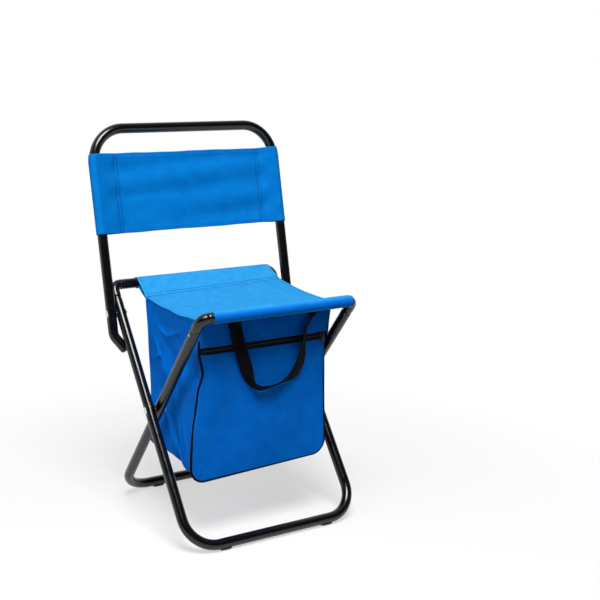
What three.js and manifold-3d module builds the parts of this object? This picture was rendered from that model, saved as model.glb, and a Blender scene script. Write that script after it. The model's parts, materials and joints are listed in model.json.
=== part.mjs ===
// Folding cooler stool: two crossed tube leg frames, a folding backrest, a cloth seat and a zipped bag.
// Millimetres, +Z up, the front faces -Y. The origin is on the floor under the middle of the stool.
import * as THREE from 'three';
import { mergeVertices } from 'three/addons/utils/BufferGeometryUtils.js';
import Module from 'manifold-3d';

const wasm = await Module();
wasm.setup();

// Driving dimensions: steel tube and its bends
const tubeDiameter = 16;
const tubeWall = 1;
const footBendRadius = 48;
const elbowBendRadius = 12;
const backrestBendRadius = 54;
const hookBendRadius = 18;
const tubeSides = 14;
const bendSteps = 5;

// Driving dimensions: the two leg frames, with distances along Y counted from near their crossing
const outerHalfWidth = 148;
const frameGap = 0.8;
const frontFootReach = 133;
const rearBarReach = 127;
const rearBarHeight = 363;
const rearFootReach = 144;
const frontBarReach = 135;
const frontBarHeight = 357;

// Driving dimensions: how a seat bar plugs into its legs
const elbowDrop = 24;
const elbowGap = 0.3;
const spigotLength = 20;
const spigotWall = 1;
const spigotClearance = 0.3;
const neckLength = 3;
const pinRadius = 1.9;
const pinClearance = 0.2;
const pinInset = 0.15;

// Driving dimensions: rivets and washers at the pivots
const rivetShankRadius = 2.6;
const rivetClearance = 0.25;
const rivetHeadRadius = 5.5;
const rivetHeadHeight = 1.6;
const rivetShoulderRadius = 4.1;
const rivetShoulderHeight = 1.1;
const rivetSeat = 0.25;
const washerRadius = 7;
const washerThickness = 0.4;
const smallRoundSides = 16;

// Driving dimensions: backrest
const backrestPivotDrop = 48.7;
const backrestLean = 12.65;
const backrestReach = 289;
const hookStraight = 35;
const hookContactDrop = 62;
const hookGap = 0.3;
const hookSetBack = 6;
const capThickness = 2;
const capEdgeHeight = 1;
const capChamfer = 1.6;
const capPlugLength = 9;
const capClearance = 0.3;
const backPanelBendReach = 15;
const backPanelHeight = 126;
const backPanelHem = 46;
const backPanelThickness = 2.4;
const hemWrap = 100;
const hemStep = 20;

// Driving dimensions: feet
const padThickness = 2;
const padLength = 17;
const padSideThickness = 2.1;
const padWrap = 50;
const frontPadInset = 9;
const rearPadInset = 17.2;
const padClearance = 0.3;
const padArcSteps = 6;

// Driving dimensions: cloth
const clothThickness = 1.5;
const sleeveClearance = 0.4;
const clothGap = 0.3;
const frontSeatInset = 18.2;
const rearSeatInset = 28;
const frontSeatShift = 2;
const rearSeatShift = 8;
const seatSag = 19;
const frontSeamDistance = 45;
const rearSeamDistance = 42;
const seamDrop = 10;

// Driving dimensions: bag
const bagSideClearance = 13.2;
const bagFlare = 4;
const bagBottomHeight = 96;
const bagCornerRadius = 20;
const bagClothThickness = 2;
const bagTopClearance = 1;
const linerWall = 3;
const linerClearance = 0.5;
const pipingRadius = 1.7;
const pipingSides = 8;

// Driving dimensions: zip
const zipHeight = 296.5;
const zipBandWidth = 14;
const zipCoilWidth = 2.4;
const zipTapeThickness = 1;
const zipCoilThickness = 2;
const zipEndInset = 1;
const sliderLength = 9;
const sliderHeight = 11;
const sliderThickness = 2.2;
const sliderEndInset = 7;
const pullBarRadius = 0.8;
const pullBarStandOff = 1.6;
const pullBarRise = 2.75;
const pullCheek = 1;
const pullWidth = 6;
const pullEyeWidth = 3;
const pullEyeWall = 0.4;
const pullSides = 12;
const pullThickness = 1;
const pullLength = 14;
const pullClearance = 0.3;

// Driving dimensions: carrying handles
const strapWidth = 25;
const strapThickness = 1.6;
const handleHalfSpan = 66;
const handleTopDrop = 13;
const handleTabHeight = 18;
const handleLoopDepth = 86;
const handleKneeInset = 12;
const handleKneeDrop = 43;
const handleBendInset = 36;
const handleBendDrop = 76;
const handleStandOff = 7.5;
const handleTabGap = 0.3;

// Worked out from the driving dimensions: tube frames
const tubeRadius = tubeDiameter / 2;
const frameSpacing = tubeDiameter + frameGap;
const innerHalfWidth = outerHalfWidth - frameSpacing;
const backrestHalfWidth = outerHalfWidth + frameSpacing;
const footHeight = tubeRadius + padThickness;
const frontPadSpread = outerHalfWidth - footBendRadius - frontPadInset;
const rearPadSpread = innerHalfWidth - footBendRadius - rearPadInset;

// Worked out from the driving dimensions: widths of the cloth and the bag, which hang between the frames
const frontSeatHalfWidth = innerHalfWidth - frontSeatInset;
const rearSeatHalfWidth = outerHalfWidth - rearSeatInset;
const bagHalfWidth = innerHalfWidth - tubeRadius - bagSideClearance;

// A place on the stool's side view, as a vector with no X
const side = (y, z) => new THREE.Vector3(0, y, z);
const frontFoot = side(-frontFootReach, footHeight);
const rearBar = side(rearBarReach, rearBarHeight);
const rearFoot = side(rearFootReach, footHeight);
const frontBar = side(-frontBarReach, frontBarHeight);
const outerLegUp = rearBar.clone().sub(frontFoot).normalize();
const innerLegUp = frontBar.clone().sub(rearFoot).normalize();
const outerLegRear = side(outerLegUp.z, -outerLegUp.y);

// The legs cross where the outer leg's line meets the inner leg's line
function crossing(pointA, alongA, pointB, alongB) {
  const apart = pointB.clone().sub(pointA);
  const turn = alongA.y * alongB.z - alongA.z * alongB.y;
  const reach = (apart.y * alongB.z - apart.z * alongB.y) / turn;
  return pointA.clone().addScaledVector(alongA, reach);
}
const legPivot = crossing(frontFoot, outerLegUp, rearFoot, innerLegUp);

// Backrest: pivot on the outer legs, arms leaning back, hooks bent in behind the legs
const backrestPivot = rearBar.clone().addScaledVector(outerLegUp, -backrestPivotDrop);
const leanAngle = THREE.MathUtils.degToRad(backrestLean);
const armUp = side(Math.sin(leanAngle), Math.cos(leanAngle));
const backrestTop = backrestPivot.clone().addScaledVector(armUp, backrestReach);
const armStraight = backrestReach - backrestBendRadius;
const backPanelRise = armStraight + backPanelBendReach - backPanelHeight;
const hookBend = backrestPivot.clone().addScaledVector(armUp, -hookStraight);
const hookTip = backrestPivot.clone()
  .addScaledVector(outerLegUp, -hookContactDrop)
  .addScaledVector(outerLegRear, tubeDiameter + hookGap);

// Cloth levels
const sleeveInner = tubeRadius + sleeveClearance;
const sleeveOuter = sleeveInner + clothThickness;
const frontSeam = side(frontBar.y + frontSeamDistance, frontBar.z - seamDrop);
const rearSeam = side(rearBar.y - rearSeamDistance, rearBar.z - seamDrop);
// The seat leaves each sleeve along its tangent, so that the sheet clears the bar
const sleeveMiddle = sleeveInner + clothThickness / 2;
const seatSpan = rearBar.y - frontBar.y - 2 * sleeveMiddle;
const seatDip = (8 * seatSag) / seatSpan;
const seatTilt = (rearBar.z - frontBar.z) / seatSpan;
const frontEndSlope = Math.atan(seatDip - seatTilt);
const rearEndSlope = Math.atan(seatDip + seatTilt);
const frontEndHeight = frontBar.z + sleeveMiddle * Math.cos(frontEndSlope);
const rearEndHeight = rearBar.z + sleeveMiddle * Math.cos(rearEndSlope);
const seatLevel = (share) => {
  const ends = THREE.MathUtils.lerp(frontEndHeight, rearEndHeight, share);
  return ends - seatSag * (1 - (2 * share - 1) ** 4);
};
const seatFlatHeight = seatLevel(0.5);
const bagTopHeight = Math.min(frontSeam.z, rearSeam.z, seatFlatHeight) - clothThickness / 2 - bagTopClearance;
const bagShift = frontSeatShift;

// The middle of the stool's depth goes to the origin
const padReach = tubeRadius + padSideThickness + padClearance;
const frontReach = Math.min(frontBar.y - sleeveOuter, frontFoot.y - padReach);
const rearReach = Math.max(backrestTop.y + tubeRadius, rearFoot.y + padReach);
const depthMiddle = (frontReach + rearReach) / 2;

// Solids: closed geometry to a manifold solid and back
function solid(geometry) {
  const bare = geometry.clone();
  bare.deleteAttribute('normal');
  bare.deleteAttribute('uv');
  const merged = mergeVertices(bare, 1e-4);
  const corners = merged.index.array;
  const kept = [];
  for (let i = 0; i < corners.length; i += 3) {
    const [a, b, c] = [corners[i], corners[i + 1], corners[i + 2]];
    if (a !== b && b !== c && c !== a) kept.push(a, b, c);
  }
  const vertProperties = Float32Array.from(merged.attributes.position.array);
  return new wasm.Manifold(new wasm.Mesh({ numProp: 3, vertProperties, triVerts: Uint32Array.from(kept) }));
}

function geometryOf(manifold) {
  const mesh = manifold.getMesh();
  const geometry = new THREE.BufferGeometry();
  const positions = new Float32Array(mesh.numVert * 3);
  for (let i = 0; i < mesh.numVert; i += 1) {
    for (let k = 0; k < 3; k += 1) positions[i * 3 + k] = mesh.vertProperties[i * mesh.numProp + k];
  }
  geometry.setAttribute('position', new THREE.BufferAttribute(positions, 3));
  geometry.setIndex(new THREE.BufferAttribute(Uint32Array.from(mesh.triVerts), 1));
  geometry.computeVertexNormals();
  return geometry;
}

// A bent path: straight runs between corners, with a round bend at each inner corner
class BentPath extends THREE.Curve {
  constructor(corners, bendRadius) {
    super();
    this.stations = [{ point: corners[0], along: corners[1].clone().sub(corners[0]).normalize() }];
    for (let i = 1; i < corners.length - 1; i += 1) this.addBend(corners, i, bendRadius[i - 1]);
    const last = corners.length - 1;
    const along = corners[last].clone().sub(corners[last - 1]).normalize();
    this.stations.push({ point: corners[last], along });
  }

  addBend(corners, i, radius) {
    const before = corners[i].clone().sub(corners[i - 1]).normalize();
    const after = corners[i + 1].clone().sub(corners[i]).normalize();
    const turn = before.angleTo(after);
    const axis = before.clone().cross(after).normalize();
    const start = corners[i].clone().addScaledVector(before, -radius * Math.tan(turn / 2));
    const inward = axis.clone().cross(before);
    const centre = start.clone().addScaledVector(inward, radius);
    for (let k = 0; k <= bendSteps; k += 1) {
      const angle = (turn * k) / bendSteps;
      const spoke = inward.clone().multiplyScalar(-radius).applyAxisAngle(axis, angle);
      const along = before.clone().applyAxisAngle(axis, angle);
      this.stations.push({ point: centre.clone().add(spoke), along });
    }
  }

  getPoint(t) {
    const at = t * (this.stations.length - 1);
    const from = Math.min(Math.floor(at), this.stations.length - 2);
    return this.stations[from].point.clone().lerp(this.stations[from + 1].point, at - from);
  }

  getSpacedPoints() {
    return this.stations.map((station) => station.point);
  }

  computeFrenetFrames() {
    const tangents = this.stations.map((station) => station.along);
    const first = Math.abs(tangents[0].x) > 0.9 ? new THREE.Vector3(0, 0, 1) : new THREE.Vector3(1, 0, 0);
    const normals = [];
    const binormals = [];
    let normal = first;
    for (const along of tangents) {
      normal = normal.clone().addScaledVector(along, -normal.dot(along)).normalize();
      normals.push(normal);
      binormals.push(along.clone().cross(normal));
    }
    return { tangents, normals, binormals };
  }
}

function roundShape(radius, sides) {
  const points = [];
  for (let i = 0; i < sides; i += 1) {
    const angle = (2 * Math.PI * i) / sides;
    points.push(new THREE.Vector2(radius * Math.cos(angle), radius * Math.sin(angle)));
  }
  return new THREE.Shape(points);
}

// A tube or, with no inner radius, a round rod along a bent path
function tube(corners, bendRadius, outerRadius, innerRadius = 0, sides = tubeSides) {
  const path = new BentPath(corners, bendRadius);
  const shape = roundShape(outerRadius, sides);
  if (innerRadius > 0) shape.holes.push(roundShape(innerRadius, sides));
  return solid(new THREE.ExtrudeGeometry(shape, { steps: path.stations.length - 1, extrudePath: path }));
}

// A round bar along X between two X places
function crossBar(radius, fromX, toX, at, sides = smallRoundSides) {
  const geometry = new THREE.CylinderGeometry(radius, radius, Math.abs(toX - fromX), sides);
  geometry.rotateZ(Math.PI / 2);
  geometry.translate((fromX + toX) / 2, at.y, at.z);
  return solid(geometry);
}

// A profile in Y and Z carried along X
function alongX(outline, fromX, toX, holes = []) {
  const shape = new THREE.Shape(outline.map((p) => new THREE.Vector2(p.y, p.z)));
  for (const hole of holes) shape.holes.push(hole);
  const geometry = new THREE.ExtrudeGeometry(shape, { depth: toX - fromX, bevelEnabled: false });
  const turn = new THREE.Matrix4().makeBasis(
    new THREE.Vector3(0, 1, 0), new THREE.Vector3(0, 0, 1), new THREE.Vector3(1, 0, 0));
  geometry.applyMatrix4(turn);
  geometry.translate(fromX, 0, 0);
  return geometry;
}

// An outline in X and Z given a thickness from backY forward to frontY
function plate(shape, frontY, backY) {
  const depth = backY - frontY;
  const geometry = new THREE.ExtrudeGeometry(shape, { depth, bevelEnabled: false, curveSegments: 6 });
  const turn = new THREE.Matrix4().makeBasis(
    new THREE.Vector3(1, 0, 0), new THREE.Vector3(0, 0, 1), new THREE.Vector3(0, -1, 0));
  geometry.applyMatrix4(turn);
  geometry.translate(0, backY, 0);
  return geometry;
}

function box(low, high) {
  const geometry = new THREE.BoxGeometry(high.x - low.x, high.y - low.y, high.z - low.z);
  geometry.translate((low.x + high.x) / 2, (low.y + high.y) / 2, (low.z + high.z) / 2);
  return geometry;
}

// Points on a circle in the side view, from one angle to another in degrees
function sideArc(centre, radius, fromDegrees, toDegrees, steps) {
  const points = [];
  for (let i = 0; i <= steps; i += 1) {
    const angle = THREE.MathUtils.degToRad(fromDegrees + ((toDegrees - fromDegrees) * i) / steps);
    points.push(side(centre.y + radius * Math.cos(angle), centre.z + radius * Math.sin(angle)));
  }
  return points;
}

// Materials
const paint = () => new THREE.MeshStandardMaterial({ color: 0x101012, roughness: 0.3, metalness: 0.4 });
const zinc = () => new THREE.MeshStandardMaterial({ color: 0xc9ccd0, roughness: 0.3, metalness: 1 });
const nylon = () => new THREE.MeshStandardMaterial({ color: 0x17171a, roughness: 0.55, metalness: 0 });
const cloth = () => new THREE.MeshStandardMaterial({ color: 0x0b6fce, roughness: 0.75, metalness: 0 });
const webbing = () => new THREE.MeshStandardMaterial({ color: 0x0c0c0f, roughness: 0.8, metalness: 0 });
const foil = () => new THREE.MeshStandardMaterial({ color: 0xc4c8cc, roughness: 0.35, metalness: 0.8 });

const stool = new THREE.Group();
stool.position.y = -depthMiddle;

function add(name, geometry, material) {
  const mesh = new THREE.Mesh(geometry, material);
  mesh.name = name;
  stool.add(mesh);
}

const sides = [{ label: 'left', sign: -1 }, { label: 'right', sign: 1 }];
const withX = (place, x) => new THREE.Vector3(x, place.y, place.z);

// Holes through a tube, along X, at a place in the side view
function boreAcross(body, at, radius, halfWidth) {
  let bored = body;
  for (const { sign } of sides) {
    const middle = sign * halfWidth;
    bored = bored.subtract(crossBar(radius, middle - tubeDiameter, middle + tubeDiameter, at));
  }
  return bored;
}

// Leg frames: U-shaped tubes with the foot bar at the bottom
const pivotBore = rivetShankRadius + rivetClearance;
const pinBore = pinRadius + pinClearance;
const pinDrop = elbowDrop + spigotLength / 2;

function legFrame(foot, bar, up, halfWidth, pivots) {
  const legEnd = bar.clone().addScaledVector(up, -elbowDrop - elbowGap);
  const corners = [
    withX(legEnd, -halfWidth), withX(foot, -halfWidth), withX(foot, halfWidth), withX(legEnd, halfWidth),
  ];
  let frame = tube(corners, [footBendRadius, footBendRadius], tubeRadius, tubeRadius - tubeWall);
  for (const pivot of pivots) frame = boreAcross(frame, pivot, pivotBore, halfWidth);
  const pinPlace = bar.clone().addScaledVector(up, -pinDrop);
  return boreAcross(frame, pinPlace, pinBore, halfWidth);
}
const outerFrame = legFrame(frontFoot, rearBar, outerLegUp, outerHalfWidth, [legPivot, backrestPivot]);
const innerFrame = legFrame(rearFoot, frontBar, innerLegUp, innerHalfWidth, [legPivot]);
add('front_leg_frame', geometryOf(outerFrame), paint());
add('rear_leg_frame', geometryOf(innerFrame), paint());

// Seat bars: a straight bar with an elbow at each end, necked down to a spigot that plugs into the leg
function seatBar(bar, up, halfWidth) {
  const elbowEnd = bar.clone().addScaledVector(up, -elbowDrop);
  const corners = [
    withX(elbowEnd, -halfWidth), withX(bar, -halfWidth), withX(bar, halfWidth), withX(elbowEnd, halfWidth),
  ];
  let body = tube(corners, [elbowBendRadius, elbowBendRadius], tubeRadius, tubeRadius - tubeWall);
  const spigotOuter = tubeRadius - tubeWall - spigotClearance;
  const spigotInner = spigotOuter - spigotWall;
  const neckStart = bar.clone().addScaledVector(up, neckLength - elbowDrop);
  const spigotEnd = bar.clone().addScaledVector(up, -elbowDrop - spigotLength);
  for (const { sign } of sides) {
    const x = sign * halfWidth;
    const neck = [withX(neckStart, x), withX(elbowEnd, x)];
    body = body.add(tube(neck, [], tubeRadius - tubeWall / 2, spigotInner));
    body = body.add(tube([withX(neckStart, x), withX(spigotEnd, x)], [], spigotOuter, spigotInner));
  }
  return boreAcross(body, bar.clone().addScaledVector(up, -pinDrop), pinBore, halfWidth);
}
add('rear_seat_bar', geometryOf(seatBar(rearBar, outerLegUp, outerHalfWidth)), paint());
add('front_seat_bar', geometryOf(seatBar(frontBar, innerLegUp, innerHalfWidth)), paint());

// Flush pins that lock the spigots in the legs
for (const [label, bar, up, halfWidth] of [
  ['rear', rearBar, outerLegUp, outerHalfWidth],
  ['front', frontBar, innerLegUp, innerHalfWidth],
]) {
  const pinPlace = bar.clone().addScaledVector(up, -pinDrop);
  const reach = tubeRadius - pinInset;
  for (const { label: hand, sign } of sides) {
    const x = sign * halfWidth;
    add(`${label}_bar_pin_${hand}`, geometryOf(crossBar(pinRadius, x - reach, x + reach, pinPlace)), zinc());
  }
}

// Rivets: a shank with a domed head at each end, along X
function rivet(nearX, farX, at) {
  const length = Math.abs(farX - nearX) + 2 * rivetSeat;
  const dome = (seat, sign) => [
    new THREE.Vector2(rivetHeadRadius, seat),
    new THREE.Vector2(rivetShoulderRadius, seat + sign * rivetShoulderHeight),
    new THREE.Vector2(0, seat + sign * rivetHeadHeight),
  ];
  const profile = [
    ...dome(0, -1).reverse(),
    new THREE.Vector2(rivetShankRadius, 0),
    new THREE.Vector2(rivetShankRadius, length),
    ...dome(length, 1),
  ];
  const geometry = new THREE.LatheGeometry(profile, smallRoundSides);
  geometry.rotateZ(-Math.PI / 2);
  geometry.translate(Math.min(nearX, farX) - rivetSeat, at.y, at.z);
  return geometryOf(solid(geometry));
}

// Washers: thin rings in the gap between two tubes
function washer(middleX, at) {
  const ring = crossBar(washerRadius, middleX - washerThickness / 2, middleX + washerThickness / 2, at);
  const hole = crossBar(pivotBore, middleX - washerThickness, middleX + washerThickness, at);
  return geometryOf(ring.subtract(hole));
}
for (const { label, sign } of sides) {
  const legInner = sign * (innerHalfWidth - tubeRadius);
  const legOuter = sign * (outerHalfWidth + tubeRadius);
  add(`leg_pivot_rivet_${label}`, rivet(legInner, legOuter, legPivot), zinc());
  add(`leg_pivot_washer_${label}`, washer(sign * (outerHalfWidth - frameSpacing / 2), legPivot), nylon());
  const armInner = sign * (outerHalfWidth - tubeRadius);
  const armOuter = sign * (backrestHalfWidth + tubeRadius);
  add(`backrest_rivet_${label}`, rivet(armInner, armOuter, backrestPivot), zinc());
  add(`backrest_washer_${label}`, washer(sign * (outerHalfWidth + frameSpacing / 2), backrestPivot), nylon());
}

// Backrest frame: one tube from hook to hook over the top bar
function hookCorners(sign) {
  const bend = withX(hookBend, sign * backrestHalfWidth);
  const tip = withX(hookTip, sign * outerHalfWidth);
  const back = bend.clone().sub(tip).normalize();
  return [tip.addScaledVector(back, hookSetBack), bend];
}
const backrestCorners = [
  ...hookCorners(-1),
  withX(backrestTop, -backrestHalfWidth),
  withX(backrestTop, backrestHalfWidth),
  ...hookCorners(1).reverse(),
];
const backrestBends = [hookBendRadius, backrestBendRadius, backrestBendRadius, hookBendRadius];
const backrestTube = tube(backrestCorners, backrestBends, tubeRadius, tubeRadius - tubeWall);
const backrestFrame = boreAcross(backrestTube, backrestPivot, pivotBore, backrestHalfWidth);
add('backrest_frame', geometryOf(backrestFrame), paint());

// Caps plugged into the hook ends
for (const { label, sign } of sides) {
  const [tip, bend] = hookCorners(sign);
  const outward = tip.clone().sub(bend).normalize();
  const plugRadius = tubeRadius - tubeWall - capClearance;
  const profile = [
    new THREE.Vector2(0, -capPlugLength),
    new THREE.Vector2(plugRadius, -capPlugLength),
    new THREE.Vector2(plugRadius, capClearance),
    new THREE.Vector2(tubeRadius, capClearance),
    new THREE.Vector2(tubeRadius, capEdgeHeight),
    new THREE.Vector2(tubeRadius - capChamfer, capThickness),
    new THREE.Vector2(0, capThickness),
  ];
  const geometry = new THREE.LatheGeometry(profile, tubeSides);
  geometry.applyQuaternion(new THREE.Quaternion().setFromUnitVectors(new THREE.Vector3(0, 1, 0), outward));
  geometry.translate(tip.x, tip.y, tip.z);
  add(`backrest_end_cap_${label}`, geometryOf(solid(geometry)), nylon());
}

// Backrest cloth: a flat panel whose two hems wrap the arms and lean in with them where the bends begin
function backrestCloth() {
  const half = backPanelThickness / 2;
  const hemEnd = backrestHalfWidth + sleeveOuter - backPanelHem;
  const outline = [];
  for (const { sign } of sides) {
    outline.push(new THREE.Vector2(sign * hemEnd, sign * -half));
    for (let degrees = -hemWrap; degrees <= hemWrap; degrees += hemStep) {
      const angle = THREE.MathUtils.degToRad(degrees);
      const x = backrestHalfWidth + sleeveOuter * Math.cos(angle);
      outline.push(new THREE.Vector2(sign * x, sign * sleeveOuter * Math.sin(angle)));
    }
    outline.push(new THREE.Vector2(sign * hemEnd, sign * half));
  }
  const shape = new THREE.Shape(outline);
  for (const { sign } of sides) {
    const hole = roundShape(sleeveInner, tubeSides).getPoints();
    shape.holes.push(new THREE.Path(hole.map((p) => p.add(new THREE.Vector2(sign * backrestHalfWidth, 0)))));
  }
  const levels = [0, backPanelHeight - backPanelBendReach, backPanelHeight];
  const steps = levels.length - 1;
  const geometry = new THREE.ExtrudeGeometry(shape, { depth: backPanelHeight, steps, bevelEnabled: false });
  const firstTurn = Math.PI / (2 * bendSteps);
  const hemLean = backPanelBendReach * Math.tan(firstTurn / 2);
  const position = geometry.attributes.position;
  for (let i = 0; i < position.count; i += 1) {
    const level = Math.round((steps * position.getZ(i)) / backPanelHeight);
    const x = position.getX(i);
    const onHem = Math.abs(x) > backrestHalfWidth - sleeveOuter;
    position.setZ(i, levels[level]);
    if (onHem && level === steps) position.setX(i, x - Math.sign(x) * hemLean);
  }
  const across = new THREE.Vector3(1, 0, 0);
  geometry.applyMatrix4(new THREE.Matrix4().makeBasis(across, armUp.clone().cross(across), armUp));
  const foot = backrestPivot.clone().addScaledVector(armUp, backPanelRise);
  geometry.translate(0, foot.y, foot.z);
  return geometryOf(solid(geometry));
}
add('backrest_cloth', backrestCloth(), cloth());

// Foot pads: clips round the underside of the foot bars, flat where they stand
function footPad(foot, middleX) {
  const inner = tubeRadius + padClearance;
  const outer = inner + padSideThickness;
  const flatHalfAngle = THREE.MathUtils.radToDeg(Math.acos(Math.min(1, footHeight / outer)));
  const outline = [
    ...sideArc(foot, outer, -90 - padWrap, -90 - flatHalfAngle, padArcSteps),
    ...sideArc(foot, outer, -90 + flatHalfAngle, -90 + padWrap, padArcSteps),
    ...sideArc(foot, inner, -90 + padWrap, -90 - padWrap, 2 * padArcSteps),
  ];
  return geometryOf(solid(alongX(outline, middleX - padLength / 2, middleX + padLength / 2)));
}
for (const { label, sign } of sides) {
  add(`front_foot_pad_${label}`, footPad(frontFoot, sign * frontPadSpread), nylon());
  add(`rear_foot_pad_${label}`, footPad(rearFoot, sign * rearPadSpread), nylon());
}

// Sleeves: a strip of cloth over the top and round the far side of a seat bar, then back under to the seam
function sleeve(bar, seam, outward, endSlope, halfWidth, shift) {
  const top = 90 + outward * THREE.MathUtils.radToDeg(endSlope);
  const bottom = outward < 0 ? 270 : -90;
  const arcSteps = 9;
  const outline = [
    ...sideArc(bar, sleeveOuter, top, bottom, arcSteps),
    side(seam.y, seam.z - clothThickness / 2),
    side(seam.y, seam.z + clothThickness / 2),
    ...sideArc(bar, sleeveInner, bottom, top, arcSteps),
  ];
  return geometryOf(solid(alongX(outline, shift - halfWidth, shift + halfWidth)));
}
const frontSleeve = sleeve(frontBar, frontSeam, -1, frontEndSlope, frontSeatHalfWidth, frontSeatShift);
const rearSleeve = sleeve(rearBar, rearSeam, 1, rearEndSlope, rearSeatHalfWidth, rearSeatShift);
add('front_sleeve', frontSleeve, cloth());
add('rear_sleeve', rearSleeve, cloth());

// Seat: a sagging sheet between the tops of the two seat bars, a little wider and further over at the rear
function seatCloth() {
  const steps = 12;
  const endReach = (slope) => (sleeveMiddle + clothThickness) * Math.sin(slope) + clothGap;
  const start = frontBar.y + endReach(frontEndSlope);
  const end = rearBar.y - endReach(rearEndSlope);
  const upper = [];
  const lower = [];
  for (let i = 0; i <= steps; i += 1) {
    const share = i / steps;
    const y = THREE.MathUtils.lerp(start, end, share);
    upper.push(side(y, seatLevel(share) + clothThickness / 2));
    lower.push(side(y, seatLevel(share) - clothThickness / 2));
  }
  const geometry = alongX([...lower, ...upper.reverse()], -1, 1);
  const position = geometry.attributes.position;
  for (let i = 0; i < position.count; i += 1) {
    const share = (position.getY(i) - start) / (end - start);
    const halfWidth = THREE.MathUtils.lerp(frontSeatHalfWidth, rearSeatHalfWidth, share);
    const shift = THREE.MathUtils.lerp(frontSeatShift, rearSeatShift, share);
    position.setX(i, shift + halfWidth * position.getX(i));
  }
  return geometryOf(solid(geometry));
}
add('seat_cloth', seatCloth(), cloth());

// Bag outline: half width at a height, flaring a little towards the bottom
const bagHalfCloth = bagClothThickness / 2;
const bagHeight = bagTopHeight - bagBottomHeight;
const halfWidthAt = (height) => bagHalfWidth + (bagFlare * (bagTopHeight - height)) / bagHeight;
const zipTop = zipHeight + zipBandWidth / 2;
const zipBottom = zipHeight - zipBandWidth / 2;
const frontBandTop = frontSeam.z - clothThickness / 2 - clothGap;
const rearPanelTop = rearSeam.z - clothThickness / 2 - clothGap;

// A panel between two heights, with rounded bottom corners where a radius is given
function panelShape(bottom, top, radius = 0) {
  const shape = new THREE.Shape();
  const low = halfWidthAt(bottom);
  const high = halfWidthAt(top);
  shape.moveTo(bagShift - high, top);
  if (radius > 0) {
    const inset = halfWidthAt(bottom + radius) - radius;
    shape.absarc(bagShift - inset, bottom + radius, radius, Math.PI, 1.5 * Math.PI);
    shape.absarc(bagShift + inset, bottom + radius, radius, 1.5 * Math.PI, 2 * Math.PI);
  } else {
    shape.lineTo(bagShift - low, bottom);
    shape.lineTo(bagShift + low, bottom);
  }
  shape.lineTo(bagShift + high, top);
  return shape;
}
const panel = (shape, at) => geometryOf(solid(plate(shape, at.y - bagHalfCloth, at.y + bagHalfCloth)));
add('bag_front_band', panel(panelShape(zipTop + clothGap, frontBandTop), frontSeam), cloth());
const lowerShape = panelShape(bagBottomHeight, zipBottom - clothGap, bagCornerRadius);
add('bag_front_panel', panel(lowerShape, frontSeam), cloth());
add('bag_rear_panel', panel(panelShape(bagBottomHeight, rearPanelTop, bagCornerRadius), rearSeam), cloth());

// Piping: a thin welt round the sides and bottom of the front panel
function bagPiping() {
  const outset = pipingRadius + clothGap;
  const top = frontBandTop - pipingRadius;
  const bottom = bagBottomHeight - outset;
  const radius = bagCornerRadius + outset;
  const corner = (sign, height) => new THREE.Vector3(
    bagShift + sign * (halfWidthAt(height) + outset), frontSeam.y, height);
  const corners = [corner(-1, top), corner(-1, bottom), corner(1, bottom), corner(1, top)];
  return geometryOf(tube(corners, [radius, radius], pipingRadius, 0, pipingSides));
}
add('bag_piping', bagPiping(), webbing());

// Sides, bottom and insulated liner between the front and rear panels
const gussetFront = frontSeam.y + pipingRadius + clothGap;
const gussetRear = rearSeam.y - bagHalfCloth - clothGap;
for (const { label, sign } of sides) {
  const outer = (height) => bagShift + sign * halfWidthAt(height);
  const inner = (height) => outer(height) - sign * bagClothThickness;
  const shape = new THREE.Shape([
    new THREE.Vector2(outer(bagTopHeight), bagTopHeight),
    new THREE.Vector2(outer(bagBottomHeight), bagBottomHeight),
    new THREE.Vector2(inner(bagBottomHeight), bagBottomHeight),
    new THREE.Vector2(inner(bagTopHeight), bagTopHeight),
  ]);
  add(`bag_side_${label}`, geometryOf(solid(plate(shape, gussetFront, gussetRear))), cloth());
}
const bottomHalfWidth = halfWidthAt(bagBottomHeight + bagClothThickness) - bagClothThickness - clothGap;
add('bag_bottom', geometryOf(solid(box(
  new THREE.Vector3(bagShift - bottomHalfWidth, gussetFront, bagBottomHeight),
  new THREE.Vector3(bagShift + bottomHalfWidth, gussetRear, bagBottomHeight + bagClothThickness),
))), cloth());

function bagLiner() {
  const halfWidth = bagHalfWidth - bagClothThickness - linerClearance;
  const front = Math.max(gussetFront, frontSeam.y + zipCoilThickness / 2) + linerClearance;
  const rear = rearSeam.y - bagHalfCloth - linerClearance;
  const bottom = bagBottomHeight + bagClothThickness + linerClearance;
  const top = bagTopHeight - linerClearance;
  const outer = solid(box(
    new THREE.Vector3(bagShift - halfWidth, front, bottom),
    new THREE.Vector3(bagShift + halfWidth, rear, top)));
  const inner = solid(box(
    new THREE.Vector3(bagShift - halfWidth + linerWall, front + linerWall, bottom + linerWall),
    new THREE.Vector3(bagShift + halfWidth - linerWall, rear - linerWall, top + linerWall)));
  return geometryOf(outer.subtract(inner));
}
add('bag_liner', bagLiner(), foil());

// Zip: two tapes, the closed coil between them, a slider and its pull
const zipHalfLength = halfWidthAt(zipTop) - zipEndInset;
function zipStrip(low, high, thickness) {
  return geometryOf(solid(box(
    new THREE.Vector3(bagShift - zipHalfLength, frontSeam.y - thickness / 2, low),
    new THREE.Vector3(bagShift + zipHalfLength, frontSeam.y + thickness / 2, high))));
}
const coilHalf = zipCoilWidth / 2;
add('zip_tape_upper', zipStrip(zipHeight + coilHalf + clothGap, zipTop, zipTapeThickness), webbing());
add('zip_tape_lower', zipStrip(zipBottom, zipHeight - coilHalf - clothGap, zipTapeThickness), webbing());
add('zip_coil', zipStrip(zipHeight - coilHalf, zipHeight + coilHalf, zipCoilThickness), webbing());

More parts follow.
